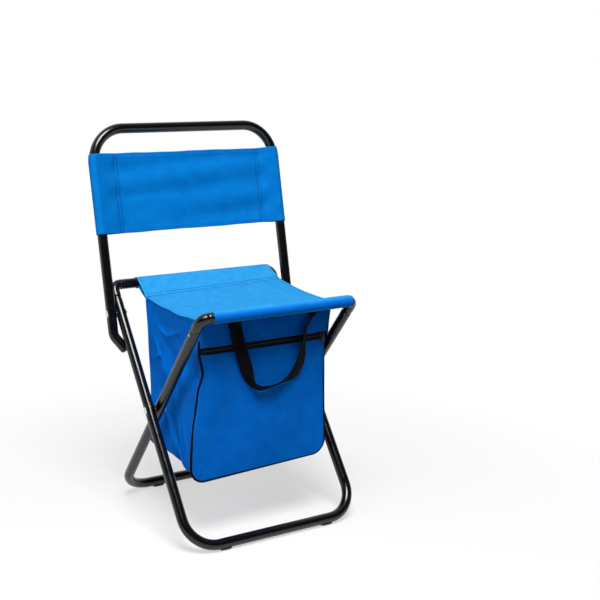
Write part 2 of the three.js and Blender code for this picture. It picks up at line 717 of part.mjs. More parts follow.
const sliderX = bagShift + zipHalfLength - sliderEndInset;
const sliderBack = frontSeam.y - zipCoilThickness / 2 - clothGap;
const sliderFront = sliderBack - sliderThickness;
const pullBar = side(sliderFront - pullBarStandOff, zipHeight + pullBarRise);
function zipSlider() {
  let body = solid(box(
    new THREE.Vector3(sliderX - sliderLength / 2, sliderFront, zipHeight - sliderHeight / 2),
    new THREE.Vector3(sliderX + sliderLength / 2, sliderBack, zipHeight + sliderHeight / 2)));
  const cheekInner = pullEyeWidth / 2 + pullClearance;
  for (const { sign } of sides) {
    const near = sliderX + sign * cheekInner;
    const far = near + sign * pullCheek;
    body = body.add(solid(box(
      new THREE.Vector3(Math.min(near, far), pullBar.y - pullBarRadius, pullBar.z - pullBarRadius),
      new THREE.Vector3(Math.max(near, far), sliderFront + sliderThickness / 2, pullBar.z + pullBarRadius))));
  }
  const reach = cheekInner + pullCheek / 2;
  return geometryOf(body.add(crossBar(pullBarRadius, sliderX - reach, sliderX + reach, pullBar, pullSides)));
}
add('zip_slider', zipSlider(), zinc());

function zipPull() {
  const eyeInner = pullBarRadius + pullClearance;
  const eyeOuter = eyeInner + pullEyeWall;
  const halfEye = pullEyeWidth / 2;
  let body = crossBar(eyeOuter, sliderX - halfEye, sliderX + halfEye, pullBar, pullSides);
  const tabTop = pullBar.z - pullBarRadius - eyeOuter;
  const neck = box(
    new THREE.Vector3(sliderX - halfEye, pullBar.y - pullThickness / 2, tabTop - pullThickness),
    new THREE.Vector3(sliderX + halfEye, pullBar.y + pullThickness / 2, pullBar.z));
  const tab = box(
    new THREE.Vector3(sliderX - pullWidth / 2, pullBar.y - pullThickness / 2, pullBar.z - pullLength),
    new THREE.Vector3(sliderX + pullWidth / 2, pullBar.y + pullThickness / 2, tabTop));
  body = body.add(solid(neck)).add(solid(tab));
  const eye = crossBar(eyeInner, sliderX - pullWidth, sliderX + pullWidth, pullBar, pullSides);
  return geometryOf(body.subtract(eye));
}
add('zip_pull', zipPull(), zinc());

// Carrying handles: a webbing loop that hangs from two tabs sewn just under a seam
function carryHandle(seam, outward) {
  const sewnHeight = seam.z - handleTopDrop;
  const panelFace = seam.y + outward * bagHalfCloth;
  const sewnY = panelFace + outward * (handleTabGap + strapThickness / 2);
  const loopY = panelFace + outward * handleStandOff;
  const loopTop = sewnHeight - handleTabHeight;
  const route = new THREE.SplineCurve([
    new THREE.Vector2(-handleHalfSpan, loopTop),
    new THREE.Vector2(handleKneeInset - handleHalfSpan, loopTop - handleKneeDrop),
    new THREE.Vector2(handleBendInset - handleHalfSpan, loopTop - handleBendDrop),
    new THREE.Vector2(0, loopTop - handleLoopDepth),
    new THREE.Vector2(handleHalfSpan - handleBendInset, loopTop - handleBendDrop),
    new THREE.Vector2(handleHalfSpan - handleKneeInset, loopTop - handleKneeDrop),
    new THREE.Vector2(handleHalfSpan, loopTop),
  ]);
  const steps = 20;
  const outer = [];
  const inner = [];
  for (let i = 0; i <= steps; i += 1) {
    const point = route.getPoint(i / steps);
    const along = route.getTangent(i / steps);
    const across = new THREE.Vector2(along.y, -along.x).multiplyScalar(strapWidth / 2);
    outer.push(point.clone().add(across));
    inner.push(point.clone().sub(across));
  }
  const outline = [...outer, ...inner.reverse()];
  const shape = new THREE.Shape(outline.map((p) => new THREE.Vector2(p.x + bagShift, p.y)));
  let body = solid(plate(shape, loopY - strapThickness / 2, loopY + strapThickness / 2));
  const slope = Math.atan2(loopY - sewnY, handleTabHeight);
  const tabLength = Math.hypot(handleTabHeight, loopY - sewnY) + strapThickness;
  for (const { sign } of sides) {
    const tab = new THREE.BoxGeometry(strapWidth, strapThickness, tabLength);
    tab.translate(0, 0, -tabLength / 2);
    tab.rotateX(slope);
    tab.translate(bagShift + sign * handleHalfSpan, sewnY, sewnHeight);
    body = body.add(solid(tab));
  }
  return geometryOf(body);
}
add('front_handle', carryHandle(frontSeam, -1), webbing());
add('rear_handle', carryHandle(rearSeam, 1), webbing());

// Joint axes, all along X, as places in the side view
const handleAxis = (seam, outward) => side(
  seam.y + outward * (bagHalfCloth + handleTabGap + strapThickness / 2), seam.z - handleTopDrop);
stool.userData.jointAxes = {
  legPivot, backrestPivot, frontSeam, rearSeam, frontBar, rearBar, pullBar, frontFoot, rearFoot,
  frontHandle: handleAxis(frontSeam, -1),
  rearHandle: handleAxis(rearSeam, 1),
};

export default stool;
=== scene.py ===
"""Folding cooler stool: crossed tube legs, a tilting backrest, a cloth seat and a zipped bag hung under it.

Metres, +Z up, the front faces -Y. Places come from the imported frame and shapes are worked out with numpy.
"""
import json
import math

import bmesh
import bpy
import numpy as np
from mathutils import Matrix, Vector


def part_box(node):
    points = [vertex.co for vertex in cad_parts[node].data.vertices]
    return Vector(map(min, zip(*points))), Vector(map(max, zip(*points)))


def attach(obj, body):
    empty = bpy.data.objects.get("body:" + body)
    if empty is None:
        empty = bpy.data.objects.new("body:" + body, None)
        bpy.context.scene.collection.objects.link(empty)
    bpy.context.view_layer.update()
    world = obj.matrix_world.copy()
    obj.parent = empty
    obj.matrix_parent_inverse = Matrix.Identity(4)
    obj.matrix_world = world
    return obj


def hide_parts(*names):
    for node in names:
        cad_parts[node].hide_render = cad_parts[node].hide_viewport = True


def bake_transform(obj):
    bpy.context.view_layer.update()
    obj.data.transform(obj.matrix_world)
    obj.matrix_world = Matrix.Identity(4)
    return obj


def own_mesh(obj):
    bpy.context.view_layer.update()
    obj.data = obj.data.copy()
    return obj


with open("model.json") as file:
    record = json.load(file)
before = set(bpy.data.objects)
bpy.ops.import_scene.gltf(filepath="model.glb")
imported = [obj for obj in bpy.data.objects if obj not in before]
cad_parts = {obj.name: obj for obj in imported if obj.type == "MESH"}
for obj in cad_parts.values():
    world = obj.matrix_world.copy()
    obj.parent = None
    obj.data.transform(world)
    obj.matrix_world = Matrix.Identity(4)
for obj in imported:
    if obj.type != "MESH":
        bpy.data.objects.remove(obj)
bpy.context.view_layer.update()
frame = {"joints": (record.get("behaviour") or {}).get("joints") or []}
MM = 0.001


# Places taken from the frame; a place in the side view is (y, z)
def low(name):
    return np.array(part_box(name)[0])


def high(name):
    return np.array(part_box(name)[1])


def unit(vectors):
    return vectors / np.linalg.norm(vectors, axis=-1, keepdims=True)


JOINTS = {joint["name"]: joint for joint in frame["joints"]}


def joint_place(name):
    return np.array(JOINTS[name]["pos_m"])


LEG_PIVOT = joint_place("fold")[1:]
BACK_PIVOT = joint_place("backrest_tilt")[1:]
TUBE = 8 * MM
OUTER = high("front_leg_frame")[0] - TUBE
INNER = high("rear_leg_frame")[0] - TUBE
ARM = high("backrest_frame")[0] - TUBE
REAR_BAR = high("rear_seat_bar")[1:] - TUBE
FRONT_BAR = np.array([low("front_seat_bar")[1] + TUBE, high("front_seat_bar")[2] - TUBE])
FRONT_FOOT = low("front_leg_frame")[1:] + TUBE
REAR_FOOT = np.array([high("rear_leg_frame")[1] - TUBE, low("rear_leg_frame")[2] + TUBE])
BACK_TOP = high("backrest_frame")[1:] - TUBE
OUTER_UP = unit(REAR_BAR - FRONT_FOOT)
INNER_UP = unit(FRONT_BAR - REAR_FOOT)
ARM_UP = unit(BACK_TOP - BACK_PIVOT)
OUTER_FRONT = np.array([-OUTER_UP[1], OUTER_UP[0]])
ARM_FRONT = np.array([-ARM_UP[1], ARM_UP[0]])
FRONT_SEAM = np.array([high("front_sleeve")[1], high("bag_front_band")[2]])
REAR_SEAM = np.array([low("rear_sleeve")[1], high("bag_rear_panel")[2]])
SIDES = ((-1, "left"), (1, "right"))
ALONG_X, ALONG_Y, ALONG_Z = np.eye(3)

# Sizes of the tubes
FOOT_BEND = 48 * MM
ELBOW_BEND = 12 * MM
TOP_BEND = 54 * MM
ELBOW_DROP = 24 * MM
TUBE_SIDES = 40
TUBE_STEP = 3 * MM
ARC_POINTS = 18

# Sizes of the cloth
CLOTH = 0.9 * MM
SLEEVE = TUBE + 0.75 * MM
HEM = 8 * MM
HEM_STEP = 0.4 * MM
HEM_EDGE = 0.8 * MM
HEM_STITCH = 6.5 * MM
SEAM_DEPTH = 0.5 * MM
BAG_TOP = FRONT_SEAM[1]
BAG_BOTTOM = low("bag_front_panel")[2]


# Small helpers
def at(x, place):
    """The point with that x over a place in the side view."""
    return np.array([x, place[0], place[1]])


def mix(start, end, share):
    return start + (end - start) * share


def ease(share):
    """A smooth step from 0 to 1."""
    share = np.clip(share, 0.0, 1.0)
    return share * share * (3.0 - 2.0 * share)


def bump(values, centre, width):
    """A bell of height 1 and that half width."""
    return np.exp(-(((values - centre) / width) ** 2))


def waves(rows, u, v=0):
    """A sum of sines. Each row gives a height, turns for each step of u and of v, and a phase."""
    return sum(tall * np.sin(2 * np.pi * (by_u * u + by_v * v) + phase) for tall, by_u, by_v, phase in rows)


def full_turn(count):
    """Angles evenly round a circle, the first not repeated."""
    return np.linspace(0, 2 * np.pi, count, endpoint=False)


def circle(angles):
    """Points on the unit circle, as pairs."""
    return np.stack([np.cos(angles), np.sin(angles)], axis=-1)


def signed_power(value, power):
    """A value raised to a power with its sign kept, which squares a round section off."""
    return np.sign(value) * np.abs(value) ** power


# Meshes from grids of points
def quads_of(table):
    """The four corners of each cell of a grid, in order round the cell."""
    cells = [table[:-1, :-1], table[:-1, 1:], table[1:, 1:], table[1:, :-1]]
    return np.stack(cells, axis=2).reshape(-1, 4, *table.shape[2:])


def new_object(name, points, faces):
    """A smooth mesh object in the scene."""
    mesh = bpy.data.meshes.new(name)
    mesh.from_pydata(points.tolist(), [], faces)
    mesh.polygons.foreach_set("use_smooth", [True] * len(mesh.polygons))
    mesh.update()
    piece = bpy.data.objects.new(name, mesh)
    bpy.context.scene.collection.objects.link(piece)
    return piece


def surface(name, grid, wrap=False, caps=False, uv=None, sharp=40.0):
    """Quads over a grid of points. wrap joins the last column to the first, caps closes the two end rows
    or, where it says first, only the first row, and uv has one place for each point, with one more column
    where the grid wraps."""
    rows, columns = grid.shape[:2]
    index = np.arange(rows * columns).reshape(rows, columns)
    around = np.concatenate([index, index[:, :1]], axis=1) if wrap else index
    quads = quads_of(around)
    points = grid.reshape(-1, 3)
    ends = [index[0][::-1], index[-1]] if caps else []
    if caps == "first":
        ends = ends[:1]
    places = None if uv is None else quads_of(uv)
    if wrap:
        corner = points[quads] - points.mean(axis=0)
        first = np.cross(corner[:, 0], corner[:, 1]) * corner[:, 2]
        second = np.cross(corner[:, 0], corner[:, 2]) * corner[:, 3]
        if (first + second).sum() < 0:
            quads = quads[:, ::-1]
            ends = [end[::-1] for end in ends]
            places = None if places is None else places[:, ::-1]
    piece = new_object(name, points, quads.tolist() + [end.tolist() for end in ends])
    mesh = piece.data
    if places is not None:
        layer = mesh.uv_layers.new(name="cloth")
        flat = np.zeros((len(mesh.loops), 2))
        flat[: len(places) * 4] = places.reshape(-1, 2)
        layer.data.foreach_set("uv", flat.ravel())
    mesh.set_sharp_from_angle(angle=math.radians(sharp))
    mesh.update()
    return piece


def closed_tube(name, grid):
    return surface(name, grid, wrap=True, caps=True)


def joined(name, parts, faces_of_part):
    """Many copies of one small closed shape: parts holds each copy's points and faces_of_part one copy's
    faces."""
    copies, points = parts.shape[:2]
    steps = (np.arange(copies) * points)[:, None, None]
    faces = (faces_of_part[None] + steps).reshape(-1, faces_of_part.shape[1])
    return new_object(name, parts.reshape(-1, 3), faces.tolist())


def merged(piece, distance=1e-6):
    """Closes a seam whose two sides lie in the same place."""
    work = bmesh.new()
    work.from_mesh(piece.data)
    bmesh.ops.remove_doubles(work, verts=work.verts, dist=distance)
    bmesh.ops.recalc_face_normals(work, faces=work.faces)
    work.to_mesh(piece.data)
    work.free()
    return piece


def walled(piece, thickness):
    """Gives a sheet its thickness, half to each side."""
    wall = piece.modifiers.new("wall", "SOLIDIFY")
    wall.thickness = thickness
    wall.offset = 0.0
    return piece


def lengths_along(points, axis):
    """Distance from the first point along one axis of a grid."""
    steps = np.linalg.norm(np.diff(points, axis=axis), axis=-1)
    start = np.zeros_like(np.take(steps, [0], axis=axis))
    return np.concatenate([start, np.cumsum(steps, axis=axis)], axis=axis)


def cloth_sheet(name, grid, thickness=CLOTH):
    """A walled sheet with a UV map in metres, across its columns and along its rows."""
    uv = np.stack([lengths_along(grid, 1), lengths_along(grid, 0)], axis=-1)
    return walled(surface(name, grid, uv=uv), thickness)


def spaced(points, count):
    """A polyline cut into that many points, evenly spaced along it."""
    reach = lengths_along(points, 0)
    wanted = np.linspace(0, reach[-1], count)
    return np.stack([np.interp(wanted, reach, points[:, k]) for k in range(points.shape[1])], axis=1)


def add_run(points, tangents, start, end, step):
    """A straight run without its last point."""
    count = max(2, int(np.linalg.norm(end - start) / step))
    share = np.linspace(0, 1, count, endpoint=False)[:, None]
    points.append(mix(start, end, share))
    tangents.append(np.repeat(unit(end - start)[None], count, axis=0))


def bent_path(corners, radii, step=TUBE_STEP, turns=ARC_POINTS):
    """Straight runs joined by arcs. An arc leaves its run at radius * tan(turn / 2) before the corner
    and follows a circle of that radius. Returns points and unit tangents."""
    points, tangents = [], []
    start = corners[0]
    for corner, after_corner, radius in zip(corners[1:-1], corners[2:], radii):
        before = unit(corner - start)
        after = unit(after_corner - corner)
        turn = math.acos(before @ after)
        inward = unit(after - before * (before @ after))
        arc_start = corner - before * radius * math.tan(turn / 2)
        add_run(points, tangents, start, arc_start, step)
        angle = np.linspace(0, turn, turns)[:, None]
        arc = radius * (before * np.sin(angle) + inward * (1 - np.cos(angle)))
        points.append(arc_start + arc[:-1])
        tangents.append((before * np.cos(angle) + inward * np.sin(angle))[:-1])
        start = arc_start + arc[-1]
    add_run(points, tangents, start, corners[-1], step)
    points.append(corners[-1][None])
    tangents.append(tangents[-1][-1:])
    return np.concatenate(points), np.concatenate(tangents)


def tube_grid(points, tangents, reference, radius, sides=TUBE_SIDES):
    """A round section carried along a path: point + radius * (cos a * side + sin a * rise), where side is
    the tangent crossed with the reference and rise is the side crossed with the tangent."""
    side = unit(np.cross(tangents, reference))
    rise = np.cross(side, tangents)
    angle = full_turn(sides)[None, :, None]
    ring = np.cos(angle) * side[:, None] + np.sin(angle) * rise[:, None]
    wide = np.broadcast_to(np.asarray(radius, float), (len(points), sides))
    return points[:, None] + wide[..., None] * ring


def cord_grid(points, radius, sides):
    """A round section along a line of points in a panel that faces along Y."""
    return tube_grid(points, unit(np.gradient(points, axis=0)), ALONG_Y, radius, sides)


def turned(name, profile, centre, axis, sides=48):
    """A profile of (radius, distance along the axis) turned round the axis through the centre."""
    profile = np.asarray(profile, float)
    axis = unit(np.asarray(axis, float))
    helper = ALONG_Z if abs(axis[2]) < 0.9 else ALONG_X
    side = unit(np.cross(axis, helper))
    rise = np.cross(axis, side)
    angle = full_turn(sides)[:, None]
    ring = np.cos(angle) * side + np.sin(angle) * rise
    grid = np.asarray(centre) + profile[:, None, :1] * ring[None] + profile[:, None, 1:] * axis
    return surface(name, grid, wrap=True, caps=True, sharp=30.0)


# Materials: small helpers
def node(tree, kind, inputs=None, **settings):
    """A shader node; an input is a value or another node's socket."""
    made = tree.nodes.new(kind)
    for key, value in settings.items():
        setattr(made, key, value)
    for key, value in (inputs or {}).items():
        if isinstance(value, bpy.types.NodeSocket):
            tree.links.new(value, made.inputs[key])
        else:
            made.inputs[key].default_value = value
    return made


def math_node(tree, operation, first, second=0.0):
    return node(tree, "ShaderNodeMath", {0: first, 1: second}, operation=operation).outputs[0]


NUMBER, VECTOR = "NodeSocketFloat", "NodeSocketVector"


def new_group(name, inputs, outputs):
    """A shader node group with named sockets; gives the tree, its inputs' sockets and its output node."""
    tree = bpy.data.node_groups.new(name, "ShaderNodeTree")
    for direction, sockets in (("INPUT", inputs), ("OUTPUT", outputs)):
        for label, kind in sockets:
            tree.interface.new_socket(name=label, in_out=direction, socket_type=kind)
    return tree, tree.nodes.new("NodeGroupInput").outputs, tree.nodes.new("NodeGroupOutput")


def weave_group():
    """Plain weave: over a grid of threads the height is the rounded top of the warp or, in every other
    cell, of the weft, and the gap is how deep the place lies between threads."""
    tree, given, out = new_group(
        "plain_weave", [("Vector", VECTOR), ("Threads", NUMBER)], [("Height", NUMBER), ("Gap", NUMBER)])
    scaling = {0: given["Vector"], "Scale": given["Threads"]}
    scaled = node(tree, "ShaderNodeVectorMath", scaling, operation="SCALE")
    split = node(tree, "ShaderNodeSeparateXYZ", {0: scaled.outputs[0]})
    crests, cells = [], []
    for axis in ("X", "Y"):
        wave = math_node(tree, "SINE", math_node(tree, "MULTIPLY", split.outputs[axis], math.pi))
        crests.append(math_node(tree, "ABSOLUTE", wave))
        cells.append(math_node(tree, "FLOOR", split.outputs[axis]))
    parity = math_node(tree, "FLOORED_MODULO", math_node(tree, "ADD", cells[0], cells[1]), 2.0)
    height = node(tree, "ShaderNodeMix", {0: parity, 2: crests[0], 3: crests[1]}).outputs[0]
    tree.links.new(height, out.inputs["Height"])
    deepest = math_node(tree, "MULTIPLY", crests[0], crests[1])
    tree.links.new(math_node(tree, "SUBTRACT", 1.0, deepest), out.inputs["Gap"])
    return tree


def uneven_group():
    """Soft unevenness: noise at a scale, spread between a low and a high value."""
    tree, given, out = new_group(
        "unevenness", [("Vector", VECTOR), ("Scale", NUMBER), ("Low", NUMBER), ("High", NUMBER)],
        [("Value", NUMBER)])
    noise = node(tree, "ShaderNodeTexNoise", {
        "Detail": 4.0, "Roughness": 0.6, "Vector": given["Vector"], "Scale": given["Scale"]})
    spread = node(tree, "ShaderNodeMapRange", {
        "Value": noise.outputs["Fac"], "From Min": 0.3, "From Max": 0.7, "To Min": given["Low"],
        "To Max": given["High"]})
    tree.links.new(spread.outputs["Result"], out.inputs["Value"])
    return tree


WEAVE = weave_group()
UNEVEN = uneven_group()


def new_material(name, constants):
    """A material with its Principled shader and its coordinates; constants are set on the shader's own
    sockets."""
    material = bpy.data.materials.new(name)
    material.use_nodes = True
    tree = material.node_tree
    shader = tree.nodes["Principled BSDF"]
    for key, value in constants.items():
        shader.inputs[key].default_value = value
    return material, tree, shader, node(tree, "ShaderNodeTexCoord").outputs


def uneven(tree, vector, scale, lowest=0.0, highest=1.0):
    sockets = {"Vector": vector, "Scale": scale, "Low": lowest, "High": highest}
    return node(tree, "ShaderNodeGroup", sockets, node_tree=UNEVEN).outputs["Value"]


def weave(tree, vector, threads):
    made = node(tree, "ShaderNodeGroup", {"Vector": vector, "Threads": threads}, node_tree=WEAVE)
    return made.outputs["Height"], made.outputs["Gap"]


def colour_between(tree, factor, first, second):
    colours = {0: factor, 6: (*first, 1.0), 7: (*second, 1.0)}
    return node(tree, "ShaderNodeMix", colours, data_type="RGBA").outputs[2]


def raise_normal(tree, shader, height, distance, strength):
    made = node(tree, "ShaderNodeBump", {"Strength": strength, "Distance": distance, "Height": height})
    tree.links.new(made.outputs["Normal"], shader.inputs["Normal"])


def grain(tree, shader, vector, scale, detail, distance, strength):
    """A fine relief in the normal."""
    noise = node(tree, "ShaderNodeTexNoise", {"Scale": scale, "Detail": detail, "Vector": vector})
    raise_normal(tree, shader, noise.outputs["Fac"], distance, strength)


def mottle(tree, shader, vector, clouds, light, dark, patches, roughness):
    """Lets the colour and the roughness vary softly, each at a scale of its own."""
    cloud = uneven(tree, vector, clouds)
    tree.links.new(colour_between(tree, cloud, light, dark), shader.inputs["Base Color"])
    tree.links.new(uneven(tree, vector, patches, *roughness), shader.inputs["Roughness"])


# Cloth
def woven(name, threads, light, dark, roughness, gloss, relief, mottling=28.0, painted_front_shade=None):
    """Woven cloth: threads on the UV map, with soft mottling, painted shade in the gaps between threads and
    a slightly uneven gloss. painted_front_shade gives the light and dark tones of a painted shade where the
    cloth turns down in front of the seat, and the y where that starts and where it is complete."""
    material, tree, shader, where = new_material(name, gloss)
    height, gap = weave(tree, where["UV"], threads)
    clouds = uneven(tree, where["Object"], mottling, 0.0, 0.75)
    # The clouds are the cloth's own uneven tone; the gap between threads darkens the colour as painted
    # shade.
    mottle_and_gap_shade = math_node(tree, "ADD", clouds, math_node(tree, "MULTIPLY", gap, 0.22))
    colour = colour_between(tree, mottle_and_gap_shade, light, dark)
    # Painted shade: past the given y the colour turns to darker tones, where the cloth turns down in front
    # of the seat.
    if painted_front_shade:
        shaded_light_tone, shaded_dark_tone, start, end = painted_front_shade
        y = node(tree, "ShaderNodeSeparateXYZ", {0: where["Object"]}).outputs["Y"]
        turn = node(tree, "ShaderNodeMapRange", {"Value": y, "From Min": start, "From Max": end})
        front = colour_between(tree, mottle_and_gap_shade, shaded_light_tone, shaded_dark_tone)
        both = {0: turn.outputs["Result"], 6: colour, 7: front}
        colour = node(tree, "ShaderNodeMix", both, data_type="RGBA").outputs[2]
    tree.links.new(colour, shader.inputs["Base Color"])
    tree.links.new(uneven(tree, where["Object"], 60.0, *roughness), shader.inputs["Roughness"])
    raise_normal(tree, shader, height, relief, 0.6)
    return material


def blue_cloth(name, light, dark, mottling, painted_front_shade=None):
    gloss = {"Sheen Weight": 0.02, "Sheen Roughness": 0.4, "Sheen Tint": (0.3, 0.6, 1.0, 1.0),
             "Specular IOR Level": 0.03}
    return woven(name, 1700.0, light, dark, (0.6, 0.75), gloss, 0.12 * MM, mottling, painted_front_shade)


def black_webbing():
    gloss = {"Sheen Weight": 0.01, "Sheen Roughness": 0.5, "Specular IOR Level": 0.06}
    light, dark = (0.0045, 0.004, 0.007), (0.0015, 0.0012, 0.003)
    return woven("black_webbing", 620.0, light, dark, (0.6, 0.8), gloss, 0.4 * MM)


def zip_tape():
    gloss = {"Sheen Weight": 0.02, "Specular IOR Level": 0.1}
    light, dark = (0.005, 0.005, 0.008), (0.0015, 0.0015, 0.003)
    return woven("zip_tape", 1400.0, light, dark, (0.65, 0.85), gloss, 0.2 * MM)


# Paint, metal, plastic, foil and thread
def black_paint():
    """Gloss powder coat: a faint orange peel, a little cloudiness and scuffs low on the foot bars."""
    material, tree, shader, where = new_material(
        "black_paint", {"Specular IOR Level": 0.42, "Coat Roughness": 0.05})
    here = where["Object"]
    height = node(tree, "ShaderNodeSeparateXYZ", {0: here}).outputs["Z"]
    near_floor = node(tree, "ShaderNodeMapRange", {
        "Value": height, "From Min": 12 * MM, "From Max": 3 * MM})
    scuff = math_node(tree, "MULTIPLY", near_floor.outputs["Result"], uneven(tree, here, 240.0))
    cloud = math_node(tree, "MULTIPLY", uneven(tree, here, 22.0), 0.35)
    worn = math_node(tree, "ADD", cloud, math_node(tree, "MULTIPLY", scuff, 0.5))
    colour = colour_between(tree, worn, (0.001, 0.001, 0.0016), (0.005, 0.005, 0.007))
    tree.links.new(colour, shader.inputs["Base Color"])
    rubbed = math_node(tree, "MULTIPLY", scuff, 0.35)
    rough = math_node(tree, "ADD", uneven(tree, here, 70.0, 0.16, 0.26), rubbed)
    tree.links.new(rough, shader.inputs["Roughness"])
    tree.links.new(uneven(tree, here, 35.0, 0.12, 0.3), shader.inputs["Coat Weight"])
    grain(tree, shader, here, 420.0, 2.0, 0.12 * MM, 0.25)
    return material


def zinc_plate():
    """Bright zinc: cloudy plating with fine turning marks."""
    material, tree, shader, where = new_material("zinc_plate", {"Metallic": 1.0})
    light, dark = (0.86, 0.87, 0.89), (0.62, 0.63, 0.66)
    mottle(tree, shader, where["Object"], 300.0, light, dark, 500.0, (0.18, 0.36))
    grain(tree, shader, where["Object"], 1500.0, 2.0, 0.06 * MM, 0.4)
    return material


def moulded(name, light, dark, roughness, metallic=0.0):
    """Moulded or cast surface: a fine grain with slightly cloudy gloss."""
    material, tree, shader, where = new_material(name, {"Metallic": metallic, "Specular IOR Level": 0.3})
    mottle(tree, shader, where["Object"], 120.0, light, dark, 400.0, roughness)
    grain(tree, shader, where["Object"], 2200.0, 3.0, 0.1 * MM, 0.35)
    return material


def foil_liner():
    """Foil on foam: a crinkled metal film."""
    material, tree, shader, where = new_material("foil_liner", {"Metallic": 0.9})
    light, dark = (0.78, 0.79, 0.8), (0.6, 0.61, 0.63)
    mottle(tree, shader, where["Object"], 40.0, light, dark, 90.0, (0.25, 0.45))
    crinkle = node(tree, "ShaderNodeTexVoronoi", {"Scale": 70.0, "Vector": where["Object"]})
    raise_normal(tree, shader, crinkle.outputs["Distance"], 3 * MM, 0.5)
    return material


def thread(name, light, dark):
    """Sewing thread: two tones along a fine twist."""
    material, tree, shader, where = new_material(name, {"Specular IOR Level": 0.1, "Sheen Weight": 0.02})
    mottle(tree, shader, where["Object"], 900.0, light, dark, 700.0, (0.5, 0.75))
    return material


PAINT = black_paint()
ZINC = zinc_plate()
NYLON = moulded("black_nylon", (0.02, 0.02, 0.022), (0.011, 0.011, 0.012), (0.42, 0.58))
BAG_LIGHT, BAG_DARK = (0.001, 0.165, 0.70), (0.0, 0.12, 0.54)
# Painted shade: where the seat cloth turns down in front of the front bar it takes the bag's darker tones,
# for the face that the top light misses.
SLEEVE_PAINTED_SHADE = (BAG_LIGHT, BAG_DARK, FRONT_BAR[0] - 4 * MM, FRONT_BAR[0] - 9 * MM)
# The seat's copy of the blue cloth is lighter and more cyan than the bag's: painted light, for the top that
# the key light falls on.
SEAT_BLUE_PAINTED_LIT = blue_cloth("seat_blue_painted_lit", (0.034, 0.31, 0.69), (0.014, 0.24, 0.575), 90.0, SLEEVE_PAINTED_SHADE)
# The backrest's copy of the same blue cloth is more cyan than the bag's: painted light, for the brighter
# light on the tilted backrest.
BACK_BLUE_PAINTED_LIT = blue_cloth("back_blue_painted_lit", (0.001, 0.178, 0.56), (0.0, 0.136, 0.455), 45.0)
BAG_BLUE = blue_cloth("bag_blue", BAG_LIGHT, BAG_DARK, 40.0)
WEBBING = black_webbing()
TAPE = zip_tape()
COIL = moulded("zip_coil", (0.006, 0.006, 0.009), (0.003, 0.003, 0.004), (0.4, 0.55))
LACQUER = moulded("zip_metal", (0.009, 0.009, 0.011), (0.004, 0.004, 0.005), (0.22, 0.36), 0.3)
FOIL = foil_liner()
BLUE_THREAD = thread("blue_thread", (0.0, 0.03, 0.17), (0.0, 0.012, 0.09))
PALE_THREAD = thread("pale_thread", (0.006, 0.22, 0.68), (0.003, 0.16, 0.56))
BLACK_THREAD = thread("black_thread", (0.03, 0.03, 0.034), (0.012, 0.012, 0.014))


def dress(piece, material, slot, *nodes):
    """Gives a piece its material and hides the solids it stands for; the slot is not used."""
    piece.data.materials.append(material)
    if nodes:
        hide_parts(*nodes)
    return piece


# Tubes
PRESS_NEAR = 5.5 * MM
PRESS_FAR = 11 * MM
PRESS_DEPTH = 0.9 * MM
TUBE_GAP = 0.3 * MM
END_ROUNDING, END_REACH = 0.5 * MM, 1.5 * MM
SPIGOT = 2 * MM
NECK_DEPTH, NECK_REACH, NECK_STEP = 0.6 * MM, 4 * MM, 1.2 * MM
RIPPLE_PITCH = 4.6 * MM
RIPPLE_PLACE, RIPPLE_WIDTH, RIPPLE_START = -2 * MM, 6 * MM, 1 * MM
REAR_CRUSH, FRONT_CRUSH = 0.3 * MM, 0.75 * MM
ELBOW_STEP, ELBOW_POINTS = 1.2 * MM, 24
HOOK_BEND = 18 * MM
HOOK_STRAIGHT = 35 * MM
HOOK_DROP = 62 * MM
HOOK_SET_BACK = 8 * MM
CAP_PROFILE = MM * np.array([
    (0.2, -2), (6, -2), (8, 0.2), (7.9, 1), (7.4, 2.2), (6.4, 3.2), (4.6, 4), (2.4, 4.4), (0.2, 4.5)])


def pressed(grid, pivot, half_width):
    """Where a rivet passes, the wall is pressed in: close to the rivet's axis, how far a point may be from
    the tube's middle along X is cut from the tube's radius by the press depth."""
    away = np.hypot(grid[..., 1] - pivot[0], grid[..., 2] - pivot[1])
    limit = TUBE - PRESS_DEPTH * (1 - ease((away - PRESS_NEAR) / (PRESS_FAR - PRESS_NEAR)))
    hand = np.sign(grid[..., 0])
    inside = np.clip(np.abs(grid[..., 0]) - half_width, -limit, limit)
    result = grid.copy()
    result[..., 0] = np.where(away < PRESS_FAR, hand * (half_width + inside), grid[..., 0])
    return result


def u_corners(half_width, end, middle):
    """The corners of a U, from its left end across the middle to its right end."""
    return [at(-half_width, end), at(-half_width, middle), at(half_width, middle), at(half_width, end)]


def from_nearest_end(points):
    """How far it is along a path to the nearer end, as a column."""
    reach = lengths_along(points, 0)
    return np.minimum(reach, reach[-1] - reach)[:, None]


def leg_frame(node_name, body, foot, bar, up, half_width, pivots):
    """A U of tube: a round section along the legs and the foot bar, rounded at its ends and pressed in at
    its rivets."""
    corners = u_corners(half_width, bar - up * (ELBOW_DROP + TUBE_GAP), foot)
    points, tangents = bent_path(corners, [FOOT_BEND, FOOT_BEND])
    radius = TUBE - END_ROUNDING * (1 - ease(from_nearest_end(points) / END_REACH))
    grid = tube_grid(points, tangents, np.cross(ALONG_X, at(0, up)), radius)
    for pivot in pivots:
        grid = pressed(grid, pivot, half_width)
    piece = closed_tube(node_name + "_tube", grid)
    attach(dress(piece, PAINT, "black_paint", node_name), body)


